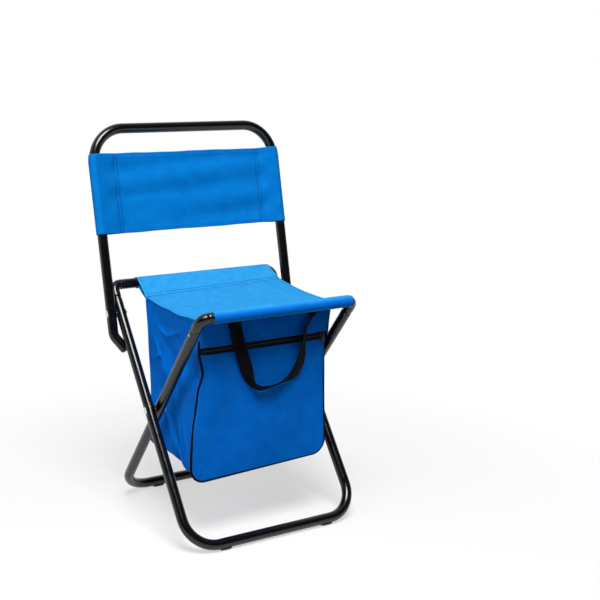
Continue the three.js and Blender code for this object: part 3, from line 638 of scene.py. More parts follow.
def seat_bar(node_name, body, bar, up, half_width, crush):
    """A bar with two tight elbows: a round section along the path, ringed by a few crush ripples just
    before each bend, deepest on its inside, and necked down at both ends to plug into the legs."""
    corners = u_corners(half_width, bar - up * (ELBOW_DROP + SPIGOT), bar)
    points, tangents = bent_path(corners, [ELBOW_BEND, ELBOW_BEND], ELBOW_STEP, ELBOW_POINTS)
    reference = np.cross(ALONG_X, at(0, up))
    side = unit(np.cross(tangents, reference))
    inner_turn = np.sign((side * (at(0, bar) - at(0, up) - points)).sum(axis=1))[:, None]
    inside = 0.5 + 0.5 * np.cos(full_turn(TUBE_SIDES)[None]) * inner_turn
    past_bend = np.abs(points[:, :1]) - (half_width - ELBOW_BEND)
    window = bump(past_bend, RIPPLE_PLACE, RIPPLE_WIDTH) * (0.6 + 0.4 * inside)
    ripple = crush * window * np.cos(2 * np.pi * (past_bend + RIPPLE_START) / RIPPLE_PITCH)
    neck = NECK_DEPTH * (1 - ease((from_nearest_end(points) - NECK_REACH) / NECK_STEP))
    piece = closed_tube(node_name + "_tube", tube_grid(points, tangents, reference, TUBE + ripple - neck))
    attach(dress(piece, PAINT, "black_paint", node_name), body)


def backrest_frame():
    """One tube from hook to hook: a round section along the arms, the top bar and the bent-in hooks, with
    a domed cap turned on each end."""
    tip = BACK_PIVOT - OUTER_UP * HOOK_DROP - OUTER_FRONT * (2 * TUBE + TUBE_GAP)
    bend = BACK_PIVOT - ARM_UP * HOOK_STRAIGHT
    outward = {hand: unit(at(hand * OUTER, tip) - at(hand * ARM, bend)) for hand, _ in SIDES}
    ends = {hand: at(hand * OUTER, tip) - outward[hand] * HOOK_SET_BACK for hand, _ in SIDES}
    corners = [ends[-1], *u_corners(ARM, bend, BACK_TOP), ends[1]]
    points, tangents = bent_path(corners, [HOOK_BEND, TOP_BEND, TOP_BEND, HOOK_BEND])
    grid = tube_grid(points, tangents, at(0, ARM_FRONT), TUBE)
    piece = closed_tube("backrest_tube", pressed(grid, BACK_PIVOT, ARM))
    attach(dress(piece, PAINT, "black_paint", "backrest_frame"), "backrest")
    for hand, label in SIDES:
        cap = turned(f"hook_cap_{label}", CAP_PROFILE, ends[hand], outward[hand])
        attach(dress(cap, NYLON, "black_nylon", f"backrest_end_cap_{label}"), "backrest")


# Rivets, washers and pins: profiles as (radius, distance along the axis)
RIVET_HEAD, RIVET_SHANK = 5.4 * MM, 2.6 * MM
RIVET_DOME = (
    (RIVET_HEAD * 0.86, 0.0), (RIVET_HEAD * 0.98, 0.15 * MM), (RIVET_HEAD, 0.5 * MM),
    (RIVET_HEAD * 0.93, 0.95 * MM), (RIVET_HEAD * 0.72, 1.4 * MM), (RIVET_HEAD * 0.4, 1.68 * MM),
    (0.15 * MM, 1.8 * MM))
RIVET_SEAT = PRESS_DEPTH - 0.1 * MM
WASHER_PROFILE = MM * np.array([
    (2.9, -0.28), (6.8, -0.28), (7, -0.112), (7, 0.112), (6.8, 0.28), (2.9, 0.28), (2.9, -0.28)])
WASHER_SIDES, PIN_SIDES = 48, 24
PIN_END = ((1.9 * MM, -0.2 * MM), (1.2 * MM, 0.15 * MM), (0.1 * MM, 0.25 * MM))
PIN_REACH = TUBE - 0.1 * MM
PIN_DROP = ELBOW_DROP + 10 * MM


def rivet(label, node_name, pivot, hand, inner_face, outer_face):
    """A rivet turned round its axis: a shank with a rolled and domed head on each end."""
    length = abs(outer_face - inner_face) - 2 * RIVET_SEAT
    far = [(radius, length + rise) for radius, rise in RIVET_DOME]
    near = [(radius, -rise) for radius, rise in RIVET_DOME[::-1]]
    profile = near + [(RIVET_SHANK, 0.0), (RIVET_SHANK, length)] + far
    start = at(hand * (inner_face + RIVET_SEAT), pivot)
    piece = turned(f"{node_name}_{label}_turned", profile, start, (hand, 0, 0))
    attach(dress(piece, ZINC, "zinc", f"{node_name}_{label}"), "front_legs")


def washer(label, node_name, pivot, hand, middle):
    """A flat ring with eased edges: a closed profile of (radius, x) turned round the rivet, open in the
    middle."""
    angle = full_turn(WASHER_SIDES)[None]
    radius, x = WASHER_PROFILE[:, :1], WASHER_PROFILE[:, 1:]
    ring = np.stack(np.broadcast_arrays(x, np.cos(angle) * radius, np.sin(angle) * radius), axis=-1)
    piece = merged(surface(f"{node_name}_{label}_ring", ring + at(hand * middle, pivot), wrap=True))
    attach(dress(piece, NYLON, "black_nylon", f"{node_name}_{label}"), "front_legs")


def pin(label, node_name, body, place, half_width, hand):
    """A short pin turned round its axis, domed a little at both ends."""
    near = [(radius, -PIN_REACH - rise) for radius, rise in PIN_END[::-1]]
    far = [(radius, PIN_REACH + rise) for radius, rise in PIN_END]
    middle = at(hand * half_width, place)
    piece = turned(f"{node_name}_{label}_turned", near + far, middle, ALONG_X, PIN_SIDES)
    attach(dress(piece, ZINC, "zinc", f"{node_name}_{label}"), body)


def fasteners():
    half_spacing = (OUTER - INNER) / 2
    for hand, label in SIDES:
        rivet(label, "leg_pivot_rivet", LEG_PIVOT, hand, INNER - TUBE, OUTER + TUBE)
        rivet(label, "backrest_rivet", BACK_PIVOT, hand, OUTER - TUBE, ARM + TUBE)
        washer(label, "leg_pivot_washer", LEG_PIVOT, hand, OUTER - half_spacing)
        washer(label, "backrest_washer", BACK_PIVOT, hand, OUTER + half_spacing)
        pin(label, "rear_bar_pin", "front_legs", REAR_BAR - OUTER_UP * PIN_DROP, OUTER, hand)
        pin(label, "front_bar_pin", "rear_legs", FRONT_BAR - INNER_UP * PIN_DROP, INNER, hand)


# Feet
PAD_WRAP = math.radians(52)
PAD_THICKNESS = 2.2 * MM
PAD_INSIDE = TUBE + 0.15 * MM
PAD_DRAW_IN = 0.35
PAD_ROWS, PAD_POINTS = 15, 41


def foot_pad(node_name, body, foot):
    """A clip under the foot bar: its section follows an arc round the tube outside and inside, is cut flat
    at the floor, and draws in at both ends."""
    reach = np.linspace(-1, 1, PAD_ROWS)
    wrap = np.linspace(-PAD_WRAP, PAD_WRAP, PAD_POINTS)
    draw_in = 1 - PAD_DRAW_IN * np.abs(reach) ** 6
    thickness = PAD_THICKNESS * np.sqrt(np.clip(1 - (np.abs(wrap) / PAD_WRAP) ** 6, 0.02, 1))
    outer = PAD_INSIDE + thickness[None] * draw_in[:, None]
    arc = circle(wrap - np.pi / 2)
    outside = foot + outer[..., None] * arc[None]
    inside = np.broadcast_to(foot + PAD_INSIDE * arc[::-1], outside.shape)
    section = np.concatenate([outside, inside], axis=1)
    section[..., 1] = np.maximum(section[..., 1], 0.0)
    x = mix(low(node_name)[0], high(node_name)[0], (reach + 1) / 2)
    x = np.broadcast_to(x[:, None, None], (*section.shape[:2], 1))
    piece = closed_tube(node_name + "_clip", np.concatenate([x, section], axis=-1))
    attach(dress(piece, NYLON, "black_nylon", node_name), body)


# Stitching
STITCH_PITCH = 4.6 * MM
STITCH_LENGTH = 2.6 * MM
STITCH_RADIUS = 0.62 * MM
STITCH_END = 0.02 * MM
STITCH_SHARES = np.array([-0.98, -0.7, 0.0, 0.7, 0.98])
STITCH_SIDES = 6
HEXAGON_HALVES = np.array([[0, 1, 2, 3], [0, 3, 4, 5]])


def stitch_row(name, route, normal, material, slot):
    """A row of short threads along a route: each is a spindle whose radius is the thread's radius times
    the root of 1 - t squared along it, lying on the cloth."""
    count = max(2, int(lengths_along(route, 0)[-1] / STITCH_PITCH))
    places = spaced(route, count + 1)
    middle = (places[1:] + places[:-1]) / 2
    along = unit(places[1:] - places[:-1])
    outward = unit(np.broadcast_to(np.asarray(normal, float), middle.shape))
    across = np.cross(along, outward)
    t = STITCH_SHARES
    width = (STITCH_RADIUS * np.sqrt(1 - t * t) + STITCH_END)[:, None]
    angle = full_turn(STITCH_SIDES)
    rings = (
        along[:, None, None] * (t * STITCH_LENGTH / 2)[None, :, None, None]
        + across[:, None, None] * (width * np.cos(angle))[None, ..., None]
        + outward[:, None, None] * (width * np.sin(angle))[None, ..., None]
    )
    parts = (middle[:, None, None] + rings).reshape(len(middle), -1, 3)
    index = np.arange(len(t) * STITCH_SIDES).reshape(len(t), STITCH_SIDES)
    sides = quads_of(np.concatenate([index, index[:, :1]], axis=1))[:, ::-1]
    ends = [index[0][HEXAGON_HALVES], index[-1][HEXAGON_HALVES[:, ::-1]]]
    return dress(joined(name, parts, np.concatenate([sides, *ends])), material, slot)


# Backrest cloth
BACK_LOW = 124 * MM
BACK_HEIGHT = 126 * MM
STITCH_LEFT = 127 * MM
STITCH_RIGHT = 127.5 * MM
STITCH_GAP = 5.5 * MM
BACK_SEAMS = (-STITCH_LEFT - STITCH_GAP, -STITCH_LEFT, STITCH_RIGHT, STITCH_RIGHT + STITCH_GAP)
SEAM_WIDTH = 1.3 * MM
BACK_STITCH_LIFT = 0.3 * MM
ARM_STRAIGHT = np.linalg.norm(BACK_TOP - BACK_PIVOT) - TOP_BEND
BACK_ROWS, ARM_POINTS, RUN_POINTS, FRONT_POINTS = 74, 22, 26, 110
FRONT_STEP = 0.2 * MM
# The part of the strip's points that the stitches are laid on
STITCHED_PART = slice(40, -60)
SLANT_HEIGHT, SLANT_TURNS, SLANT_START, SLANT_CLIMB = 2.0 * MM, 2.6, 0.6, 0.11
BACK_SLACK = ((0.4 * MM, 1.3, 0.45, 1.9),)
PUCKER_HEIGHT, PUCKER_TURNS, PUCKER_WIDTH = 0.5 * MM, 2.2, 14 * MM
EDGE_FREE = 22 * MM
# Shares of the panel's height
EDGE_WAVES = ((0.0025, 1 / (0.9 * ARM), 0, 0), (0.0012, 1 / (0.31 * ARM), 0, 1))


def back_profile():
    """The strip's way across the frame, seen from above, as (x, outward): from the left seam round the
    back of the left arm, over the front to the right arm, and round it to the right seam."""
    left = SLEEVE * circle(np.radians(np.linspace(-90, -270, ARM_POINTS))) - (ARM, 0)
    right = left[::-1] * (-1, 1)
    lead_in = np.array([[-STITCH_LEFT, -CLOTH]])
    lead_out = np.array([[STITCH_RIGHT, -CLOTH]])
    front_left = np.array([[-STITCH_LEFT - STITCH_GAP / 2, FRONT_STEP]])
    front_right = np.array([[STITCH_RIGHT + STITCH_GAP / 2, FRONT_STEP]])
    share = np.linspace(0, 1, RUN_POINTS)[:, None]
    across = np.linspace(0, 1, FRONT_POINTS)[:, None]
    return np.concatenate([
        mix(lead_in, left[:1], share[:-1]), left, mix(left[-1:], front_left, share[1:-1]),
        mix(front_left, front_right, across),
        mix(front_right, right[:1], share[1:-1]), right, mix(right[-1:], lead_out, share[1:]),
    ])


def back_relief(x, rise, outward):
    """How far the stretched front stands out: broad slanting waves that die out at the lower left, slack,
    a pucker near the arms, a hem step along both edges and a dip at each seam."""
    on_front = ease((outward + 0.5 * MM) / (1 * MM))
    across = x / ARM
    between = 1 - ease((np.abs(across) - 0.8) / 0.15)
    lower_left = (1 - ease((rise - 0.35) / 0.15)) * (1 - ease((across + 0.5) / 0.7))
    slant = SLANT_HEIGHT * np.sin(2 * np.pi * SLANT_TURNS * (rise - SLANT_START - SLANT_CLIMB * across))
    loose = between * (slant * (1 - lower_left) + waves(BACK_SLACK, rise, across))
    near_arm = bump(np.abs(x), 0.87 * ARM, PUCKER_WIDTH)
    pucker = PUCKER_HEIGHT * np.sin(2 * np.pi * PUCKER_TURNS * rise + np.sign(x)) * near_arm
    edge = np.minimum(rise, 1 - rise) * BACK_HEIGHT
    hem = HEM_STEP * (1 - ease((edge - HEM) / HEM_EDGE))
    seams = sum(SEAM_DEPTH * bump(x, place, SEAM_WIDTH) for place in BACK_SEAMS)
    free = 0.35 + 0.65 * ease(edge / EDGE_FREE)
    return on_front * (free * (loose + pucker) + hem - seams)


def back_place(x, outward, rise):
    """A point of the backrest from x, how far it stands out to the front and its height share on the
    panel. Near the arms it leans in with them where their tube starts to bend, by R - root(R squared -
    rise squared)."""
    climb = BACK_LOW + BACK_HEIGHT * rise
    past = np.clip(climb - ARM_STRAIGHT, 0, TOP_BEND)
    lean = (TOP_BEND - np.sqrt(TOP_BEND**2 - past**2)) * ease((np.abs(x) / ARM - 0.72) / 0.2)
    place = BACK_PIVOT + ARM_UP * climb[..., None] + ARM_FRONT * outward[..., None]
    return np.concatenate([(x - np.sign(x) * lean)[..., None], place], axis=-1)


def backrest_cloth():
    """The strip of back_profile carried up the arms and moved outward by back_relief, with stitches along
    its seams and its two hems."""
    profile = back_profile()
    rise = np.linspace(0, 1, BACK_ROWS)[:, None]
    x = np.broadcast_to(profile[:, 0], (len(rise), len(profile)))
    outward = profile[:, 1] + back_relief(x, rise, profile[None, :, 1])
    grid = back_place(x, outward, rise + waves(EDGE_WAVES, x) * (2 * rise - 1))
    piece = cloth_sheet("backrest_panel", grid)
    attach(dress(piece, BACK_BLUE_PAINTED_LIT, "blue_cloth", "backrest_cloth"), "backrest")
    climb = np.linspace(0.015, 0.985, 90)
    along = np.linspace(-0.97 * ARM, 0.97 * ARM, 240)
    rows = []
    for place in BACK_SEAMS:
        label = f"stitches_{'left' if place < 0 else 'right'}_{abs(place) / MM:.0f}"
        rows.append((label, np.full_like(climb, place), climb, BACK_STITCH_LIFT, BLUE_THREAD))
    for share, label in ((HEM_STITCH / BACK_HEIGHT, "low"), (1 - HEM_STITCH / BACK_HEIGHT, "top")):
        rows.append((f"hem_{label}", along, np.full_like(along, share), 0.0, PALE_THREAD))
    for label, where, share, lift, material in rows:
        flat = np.interp(where, *profile[STITCHED_PART].T)
        out = flat + back_relief(where, share, flat) + CLOTH / 2 + lift
        route = back_place(where, out, share)
        row = stitch_row(f"backrest_{label}", route, at(0, ARM_FRONT), material, "blue_cloth")
        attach(row, "backrest")


# Seat cloth: lengths along the bars where it ends, and its two ends on each seam
SEAT_REAR = (-107.5 * MM, 140 * MM)
SEAT_FRONT = (-113 * MM, 124.5 * MM)
REAR_SEAM_ENDS = (at(-110.5 * MM, REAR_SEAM + np.array([0, -4.8]) * MM),
                  at(140.5 * MM, REAR_SEAM + np.array([1, 1]) * MM))
FRONT_SEAM_ENDS = (at(-114 * MM, FRONT_SEAM + np.array([0, -1.5]) * MM),
                   at(130.5 * MM, FRONT_SEAM + np.array([0, 0.4]) * MM))
SEAT_SAG = 4.8 * MM
TUCK_REAR, LEAVE_REAR = math.radians(-150), math.radians(113)
LEAVE_FRONT, TUCK_FRONT = math.radians(68), math.radians(330)
SEAT_COLUMNS = 130
BAR_ROWS, SLOPE_ROWS, MIDDLE_ROWS = 28, 30, 64
REAR_SEAM_ROW = BAR_ROWS + SLOPE_ROWS - 1
FRONT_SEAM_ROW = REAR_SEAM_ROW + MIDDLE_ROWS
SEAM_ROWS = (REAR_SEAM_ROW - 4, REAR_SEAM_ROW, FRONT_SEAM_ROW, FRONT_SEAM_ROW + 4)
HEM_ROWS = slice(BAR_ROWS + 6, -BAR_ROWS - 6)
SEAT_WAVES = ((0.8 * MM, 1.1, 0.35, 0.3), (0.5 * MM, 2.7, -0.6, 1.1))
SEAT_FLUTTER, FLUTTER_WIDTH = ((0.9 * MM, 2.4, 0, 0.8),), 16 * MM
SEAT_PULL = ((0.5 * MM, 5.3, 0, 0.5),)
PULL_PLACE, PULL_WIDTH = REAR_SEAM[0] + 17 * MM, 14 * MM
SEAT_FOLD = ((-74, 17), (-66, -24), 5, -1.4)
SEAT_STITCH_LIFT = 0.4 * MM
RETURN_ROWS, RETURN_DROP, RETURN_SLACK = 18, 2.6 * MM, 1.2 * MM


def round_bar(reach, bar, up, half_width, angles):
    """Rings of cloth round a seat bar, one for each length along it. Past the straight part the middle
    follows the elbow's arc by a turn t, at bar - up * R(1 - cos t), and the ring's share along up leans
    outwards by t."""
    straight = half_width - ELBOW_BEND
    turn = np.clip(np.abs(reach) - straight, 0, None) / ELBOW_BEND
    ahead = np.array([-up[1], up[0]])
    along_up = SLEEVE * (circle(angles) @ up)[:, None]
    along_ahead = SLEEVE * (circle(angles) @ ahead)[:, None]
    x = np.sign(reach) * (np.minimum(np.abs(reach), straight) + (ELBOW_BEND + along_up) * np.sin(turn))
    rise = (ELBOW_BEND + along_up) * np.cos(turn) - ELBOW_BEND
    side = bar + rise[..., None] * up + along_ahead[..., None] * ahead
    return np.concatenate([x[..., None], side], axis=-1)


def ridge_line(places, start, end, width, height):
    """A ridge, or a valley where the height is below 0, along a straight line: height * exp(-distance /
    width), highest half way along. places are pairs in metres and the rest is in millimetres."""
    start, end = np.asarray(start) * MM, np.asarray(end) * MM
    along = end - start
    held = np.clip((places - start) @ along / (along @ along), 0, 1)
    away = np.linalg.norm(places - start - held[..., None] * along, axis=-1)
    swell = 0.4 + 0.6 * np.sin(np.pi * np.clip(held, 0.08, 0.92))
    return height * MM * np.exp(-away / (width * MM)) * swell


def seat_relief(grid, u, inside, sheet):
    """Lowers the seat by its sag and by the dip at each double seam, lifts the hems along its two sides,
    and adds slack waves that run between the bars and die out at them. inside is the share of the way from
    the rear seam to the front one in each row, and sheet is 1 in the rows that are clear of the bars."""
    inside = inside[:, None]
    open_part = np.sin(np.pi * inside)
    left = grid[..., 0] - grid[:, :1, 0]
    right = grid[:, -1:, 0] - grid[..., 0]
    hem = HEM_STEP * (1 - ease((np.minimum(left, right) - HEM) / HEM_EDGE))
    flutter = waves(SEAT_FLUTTER, inside) * bump(left, 0, FLUTTER_WIDTH)
    pull = waves(SEAT_PULL, u) * bump(grid[..., 1], PULL_PLACE, PULL_WIDTH)
    fold = ridge_line(grid[..., :2], *SEAT_FOLD)
    row = np.arange(len(grid))[:, None]
    seams = sum(SEAM_DEPTH * bump(row, place, 1.1) for place in SEAM_ROWS)
    lift = (waves(SEAT_WAVES, u, inside) + flutter - SEAT_SAG) * open_part + pull - seams + fold
    result = grid.copy()
    result[..., 2] += sheet[:, None] * (lift + hem)
    return result


def seat_grid():
    """The seat's strip, row by row from under the rear bar, round it, down to the rear seam, across the
    sag to the front seam, up to the front bar and round under it. Columns run from the left edge to the
    right one."""
    u = np.linspace(0, 1, SEAT_COLUMNS)
    rear_angles = np.linspace(TUCK_REAR, LEAVE_REAR, BAR_ROWS)
    front_angles = np.linspace(LEAVE_FRONT, TUCK_FRONT, BAR_ROWS)
    rear = round_bar(mix(*SEAT_REAR, u), REAR_BAR, OUTER_UP, OUTER, rear_angles)
    front = round_bar(mix(*SEAT_FRONT, u), FRONT_BAR, INNER_UP, INNER, front_angles)
    rear_seam = mix(*REAR_SEAM_ENDS, u[:, None])
    front_seam = mix(*FRONT_SEAM_ENDS, u[:, None])
    down = np.linspace(0, 1, SLOPE_ROWS + 1)[1:]
    across = np.linspace(0, 1, MIDDLE_ROWS + 1)[1:]
    slope_rear = mix(rear[-1], rear_seam, down[:, None, None])
    middle = mix(rear_seam, front_seam, across[:, None, None])
    slope_front = mix(front_seam, front[0], down[:-1, None, None])
    ends = np.zeros(BAR_ROWS)
    inside = np.concatenate([ends, 0 * down, across, 1 + 0 * down[:-1], 1 + ends])
    sheet = np.concatenate([ends, ease(down * 3), 1 + 0 * across, ease(3 - 3 * down[:-1]), ends])
    return seat_relief(np.concatenate([rear, slope_rear, middle, slope_front, front]), u, inside, sheet)


SEAT_GRID = seat_grid()


def seat_line(column, y):
    """x and z of the seat along one of its columns, at each y between its bars."""
    line = SEAT_GRID[BAR_ROWS:-BAR_ROWS, column][::-1]
    return np.interp(y, line[:, 1], line[:, 0]), np.interp(y, line[:, 1], line[:, 2])


def with_the_fold(piece):
    """Bakes a piece's place into its mesh and reads its points into an array; the piece is not bent."""
    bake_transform(piece)
    points = np.zeros(len(piece.data.vertices) * 3, np.float32)
    piece.data.vertices.foreach_get("co", points)


def seat_cloth():
    """The sheet of seat_grid, with stitches along its seams and its two hems."""
    grid = SEAT_GRID
    piece = cloth_sheet("seat_sheet", grid)
    dress(piece, SEAT_BLUE_PAINTED_LIT, "blue_cloth", "seat_cloth", "front_sleeve", "rear_sleeve")
    with_the_fold(piece)
    for row_at, label in zip(SEAM_ROWS, ("rear_a", "rear_b", "front_a", "front_b")):
        route = grid[row_at, 1:-1] + (0, 0, CLOTH / 2 + SEAT_STITCH_LIFT)
        with_the_fold(stitch_row(f"seat_stitches_{label}", route, ALONG_Z, BLUE_THREAD, "blue_cloth"))
    for column, hand, label in ((0, 1, "left"), (-1, -1, "right")):
        route = grid[HEM_ROWS, column] + (hand * HEM_STITCH, 0, CLOTH / 2 + HEM_STEP * 0.4)
        with_the_fold(stitch_row(f"seat_hem_{label}", route, ALONG_Z, PALE_THREAD, "blue_cloth"))


def hem_return(label, sleeve_end, seam_ends):
    """The hem's return under a bar: a strip from the end of the sleeve to the seam with a slight slack."""
    u = np.linspace(0, 1, len(sleeve_end))
    share = np.linspace(0, 1, RETURN_ROWS)[:, None, None]
    grid = mix(sleeve_end, mix(*seam_ends, u[:, None]) - (0, 0, RETURN_DROP), share)
    slack = RETURN_SLACK * (1 + 0.4 * np.sin(2 * np.pi * 3.2 * u))
    grid[..., 2] -= slack * np.sin(np.pi * share[..., 0])
    piece = dress(cloth_sheet(f"{label}_hem_return", grid), SEAT_BLUE_PAINTED_LIT, "blue_cloth")
    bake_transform(piece)


# Bag outlines: x of the left and right edges at heights from the bottom up
def smoothed(heights, values):
    """A table of fine heights and values: straight between the given rows, then averaged over nine of the
    fine steps."""
    fine = np.linspace(heights[0], heights[-1], 260)
    rough = np.pad(np.interp(fine, heights, values), 4, mode="edge")
    return fine * MM, np.convolve(rough, np.ones(9) / 9, mode="valid") * MM


FRONT_HEIGHTS = (96, 121, 147, 163, 184, 203, 232, 243, 253, 263, 274, 291, 300, 318, 333, 347)
FRONT_LEFT = smoothed(FRONT_HEIGHTS, (
    -124, -124, -123, -121.8, -119.3, -116.1, -112, -109.6, -105.6, -103, -105.2, -109.2, -109.2, -109,
    -109.5, -111))
FRONT_RIGHT = smoothed(FRONT_HEIGHTS, (
    114.5, 114.5, 113.4, 112.8, 111.9, 111.2, 110.5, 110.3, 110, 109.8, 109.9, 110.3, 115.8, 117, 119,
    120))
REAR_HEIGHTS = (100, 115, 150, 200, 230, 260, 300, 353)
REAR_LEFT = smoothed(REAR_HEIGHTS, (-110.5, -110.5, -109.5, -109, -109.5, -110, -110, -110.5))
REAR_RIGHT = smoothed(REAR_HEIGHTS, (113, 113, 114, 113, 113, 113, 113, 114))
REAR_LEAN = smoothed(REAR_HEIGHTS, (67, 66, 62, 60, 61, 63.5, 66, 72.75))
FRONT_BOTTOM = (BAG_BOTTOM, BAG_BOTTOM + 8.5 * MM)
REAR_BOTTOM = (100 * MM, 103 * MM)
FRONT_CORNERS = (22 * MM, 22 * MM)
REAR_CORNERS = (20 * MM, 24 * MM)
ZIP_MIDDLE = (low("zip_coil")[2] + high("zip_coil")[2]) / 2
ZIP_LOW = low("zip_tape_lower")[2]
ZIP_HIGH = high("zip_tape_upper")[2]
PANEL_Y = FRONT_SEAM[0]
EDGE_POINTS, CORNER_POINTS, BASE_POINTS = 110, 18, 62
PANEL_COLUMNS = 90


def front_edges(z):
    return np.interp(z, *FRONT_LEFT), np.interp(z, *FRONT_RIGHT)


def rear_edges(z):
    return np.interp(z, *REAR_LEFT), np.interp(z, *REAR_RIGHT)


def rear_y(z):
    """The rear panel is drawn in towards the middle of its height."""
    return np.interp(z, *REAR_LEAN)


def bag_outline(edges, top, bottom, corners):
    """The outline down the left edge, round the left corner, along the bottom, round the right corner and
    up the right edge, as (x, z) with the same number of points in each stretch."""
    runs = []
    for hand, inward, start, end in ((0, 1, 180, 270), (1, -1, 0, -90)):
        radius = corners[hand]
        z = np.linspace(top, bottom[hand] + radius, EDGE_POINTS)
        edge = np.stack([edges(z)[hand], z], axis=1)
        centre = edge[-1] + (inward * radius, 0)
        arc = centre + radius * circle(np.radians(np.linspace(start, end, CORNER_POINTS)))
        runs.append(np.concatenate([edge, arc[1:]]))
    base = mix(runs[0][-1], runs[1][-1], np.linspace(0, 1, BASE_POINTS)[1:-1, None])
    return np.concatenate([runs[0], base, runs[1][::-1]])


def panel_grid(edges, top, bottom, corners, rows):
    """A panel as x and z: across between its two edges and down to a bottom whose corners are rounded.
    Gives the shares across and down too."""
    u = np.linspace(0, 1, PANEL_COLUMNS)[None]
    v = np.linspace(0, 1, rows)[:, None]
    floor_line = mix(*bottom, u)
    x = mix(*edges(mix(top, floor_line, v)), u)
    from_left = x - edges(bottom[0] + corners[0])[0]
    from_right = edges(bottom[1] + corners[1])[1] - x
    lift = 0
    for radius, away in zip(corners, (from_left, from_right)):
        lift = lift + radius - np.sqrt(radius**2 - np.clip(radius - away, 0, radius) ** 2)
    return x, mix(top, floor_line + lift, v), u, v


# Bag front: heights of relief in millimetres
FRONT_BELLY = 4.5
FRONT_SLACK = ((1.1, 1.6, 0.5, 0.4), (0.7, 3.1, -0.7, 2.0))
FRONT_HANG = ((0.8, 4.2, 0, 0.9),)
FRONT_TUCK = 2.2
HEM_SWELL = 0.9
BAND_WAVES = ((1.4, 2.3, 0, 0.7),)
BAND_CREASE = 1.2
FRONT_ROWS, BAND_ROWS = 110, 30
PANEL_OUT = 0.6 * MM
ZIP_HEM = 1.5 * MM
BAND_TOP = BAG_TOP - 0.6 * MM
# Each row of stitches along the zip: height, lift and label
ZIP_STITCHES = ((ZIP_LOW - 2.5 * MM, 0.475 * MM, "low"), (ZIP_HIGH + 2.5 * MM, 0.55 * MM, "high"))
ZIP_STITCH_INSET, BAND_STITCH_OUT = 4 * MM, 0.3 * MM
PIPING_RADIUS, PIPING_SIDES, PIPING_POINTS = 2 * MM, 14, 420
PIPING_TOP_LEFT = 313 * MM
PIPING_OUT, PIPING_BEHIND = 0.5 * MM, 0.4 * MM


def front_relief(x, z):
    """How far the lower front panel stands out: a soft belly, slack waves, folds that hang from the zip, a
    tuck at its left end and a hem under it."""
    share = np.clip((ZIP_LOW - z) / (ZIP_LOW - BAG_BOTTOM), 0, 1)
    left, right = front_edges(z)
    across = np.clip((x - left) / (right - left), 0, 1)
    belly = FRONT_BELLY * np.sin(np.pi * across) ** 0.7
    loose = np.sin(np.pi * share) * (belly + waves(FRONT_SLACK, across, share))
    hang = waves(FRONT_HANG, across) * bump(share, 0.12, 0.12)
    tuck = FRONT_TUCK * bump(across, 0.03, 0.06) * bump(share, 0.12, 0.14)
    hem = HEM_SWELL * bump(z, ZIP_LOW + 0.4 * MM, 1.6 * MM)
    return (loose + hang - tuck + hem) * MM


def front_place(x, z, out):
    """Points that stand out from the front panel's plane."""
    return np.stack(np.broadcast_arrays(x, PANEL_Y - out, z), axis=-1)


def bag_front():
    """The band above the zip and the panel below it, each a sheet over its outline moved out by its
    relief, with a row of stitches on each side of the zip."""
    x, z, u, _ = panel_grid(front_edges, ZIP_LOW + ZIP_HEM, FRONT_BOTTOM, FRONT_CORNERS, FRONT_ROWS)
    grid = front_place(x, z, front_relief(x, z) + PANEL_OUT)
    lower = cloth_sheet("bag_front_sheet", grid)
    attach(dress(lower, BAG_BLUE, "blue_cloth", "bag_front_panel"), "bag_front")
    z = np.linspace(BAND_TOP, ZIP_HIGH - ZIP_HEM, BAND_ROWS)[:, None]
    share = np.linspace(0, 1, BAND_ROWS)[:, None]
    out = waves(BAND_WAVES, u) * np.sin(np.pi * share) + BAND_CREASE * bump(u, 0.27, 0.05) * share
    out = out + HEM_SWELL * bump(share, 0.98, 0.04)
    grid = front_place(mix(*front_edges(z), u), z, PANEL_OUT + out * MM)
    band = cloth_sheet("bag_band_sheet", grid)
    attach(dress(band, BAG_BLUE, "blue_cloth", "bag_front_band"), "bag_front")
    for z, lift, label in ZIP_STITCHES:
        left, right = front_edges(z)
        x = np.linspace(left + ZIP_STITCH_INSET, right - ZIP_STITCH_INSET, 120)
        out = front_relief(x, np.full_like(x, z)) if label == "low" else BAND_STITCH_OUT
        route = front_place(x, z, out + PANEL_OUT + lift)
        row = stitch_row(f"zip_stitches_{label}", route, -ALONG_Y, PALE_THREAD, "blue_cloth")
        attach(row, "bag_front")


def bag_piping():
    """A thin round welt along the outline of the front panel, from above the zip on the left to the top on
    the right. It lies just outside the panel's edge and a little behind its face."""
    outline = bag_outline(front_edges, BAG_TOP - 2 * MM, FRONT_BOTTOM, FRONT_CORNERS)
    outline = spaced(outline[(outline[:, 0] > 0) | (outline[:, 1] < PIPING_TOP_LEFT)], PIPING_POINTS)
    along = unit(np.gradient(outline, axis=0))
    x, z = (outline + PIPING_OUT * np.stack([along[:, 1], -along[:, 0]], axis=1)).T
    welt = cord_grid(front_place(x, z, -PIPING_BEHIND), PIPING_RADIUS, PIPING_SIDES)
    piece = closed_tube("bag_welt", welt)
    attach(dress(piece, WEBBING, "black_webbing", "bag_piping"), "bag_front")


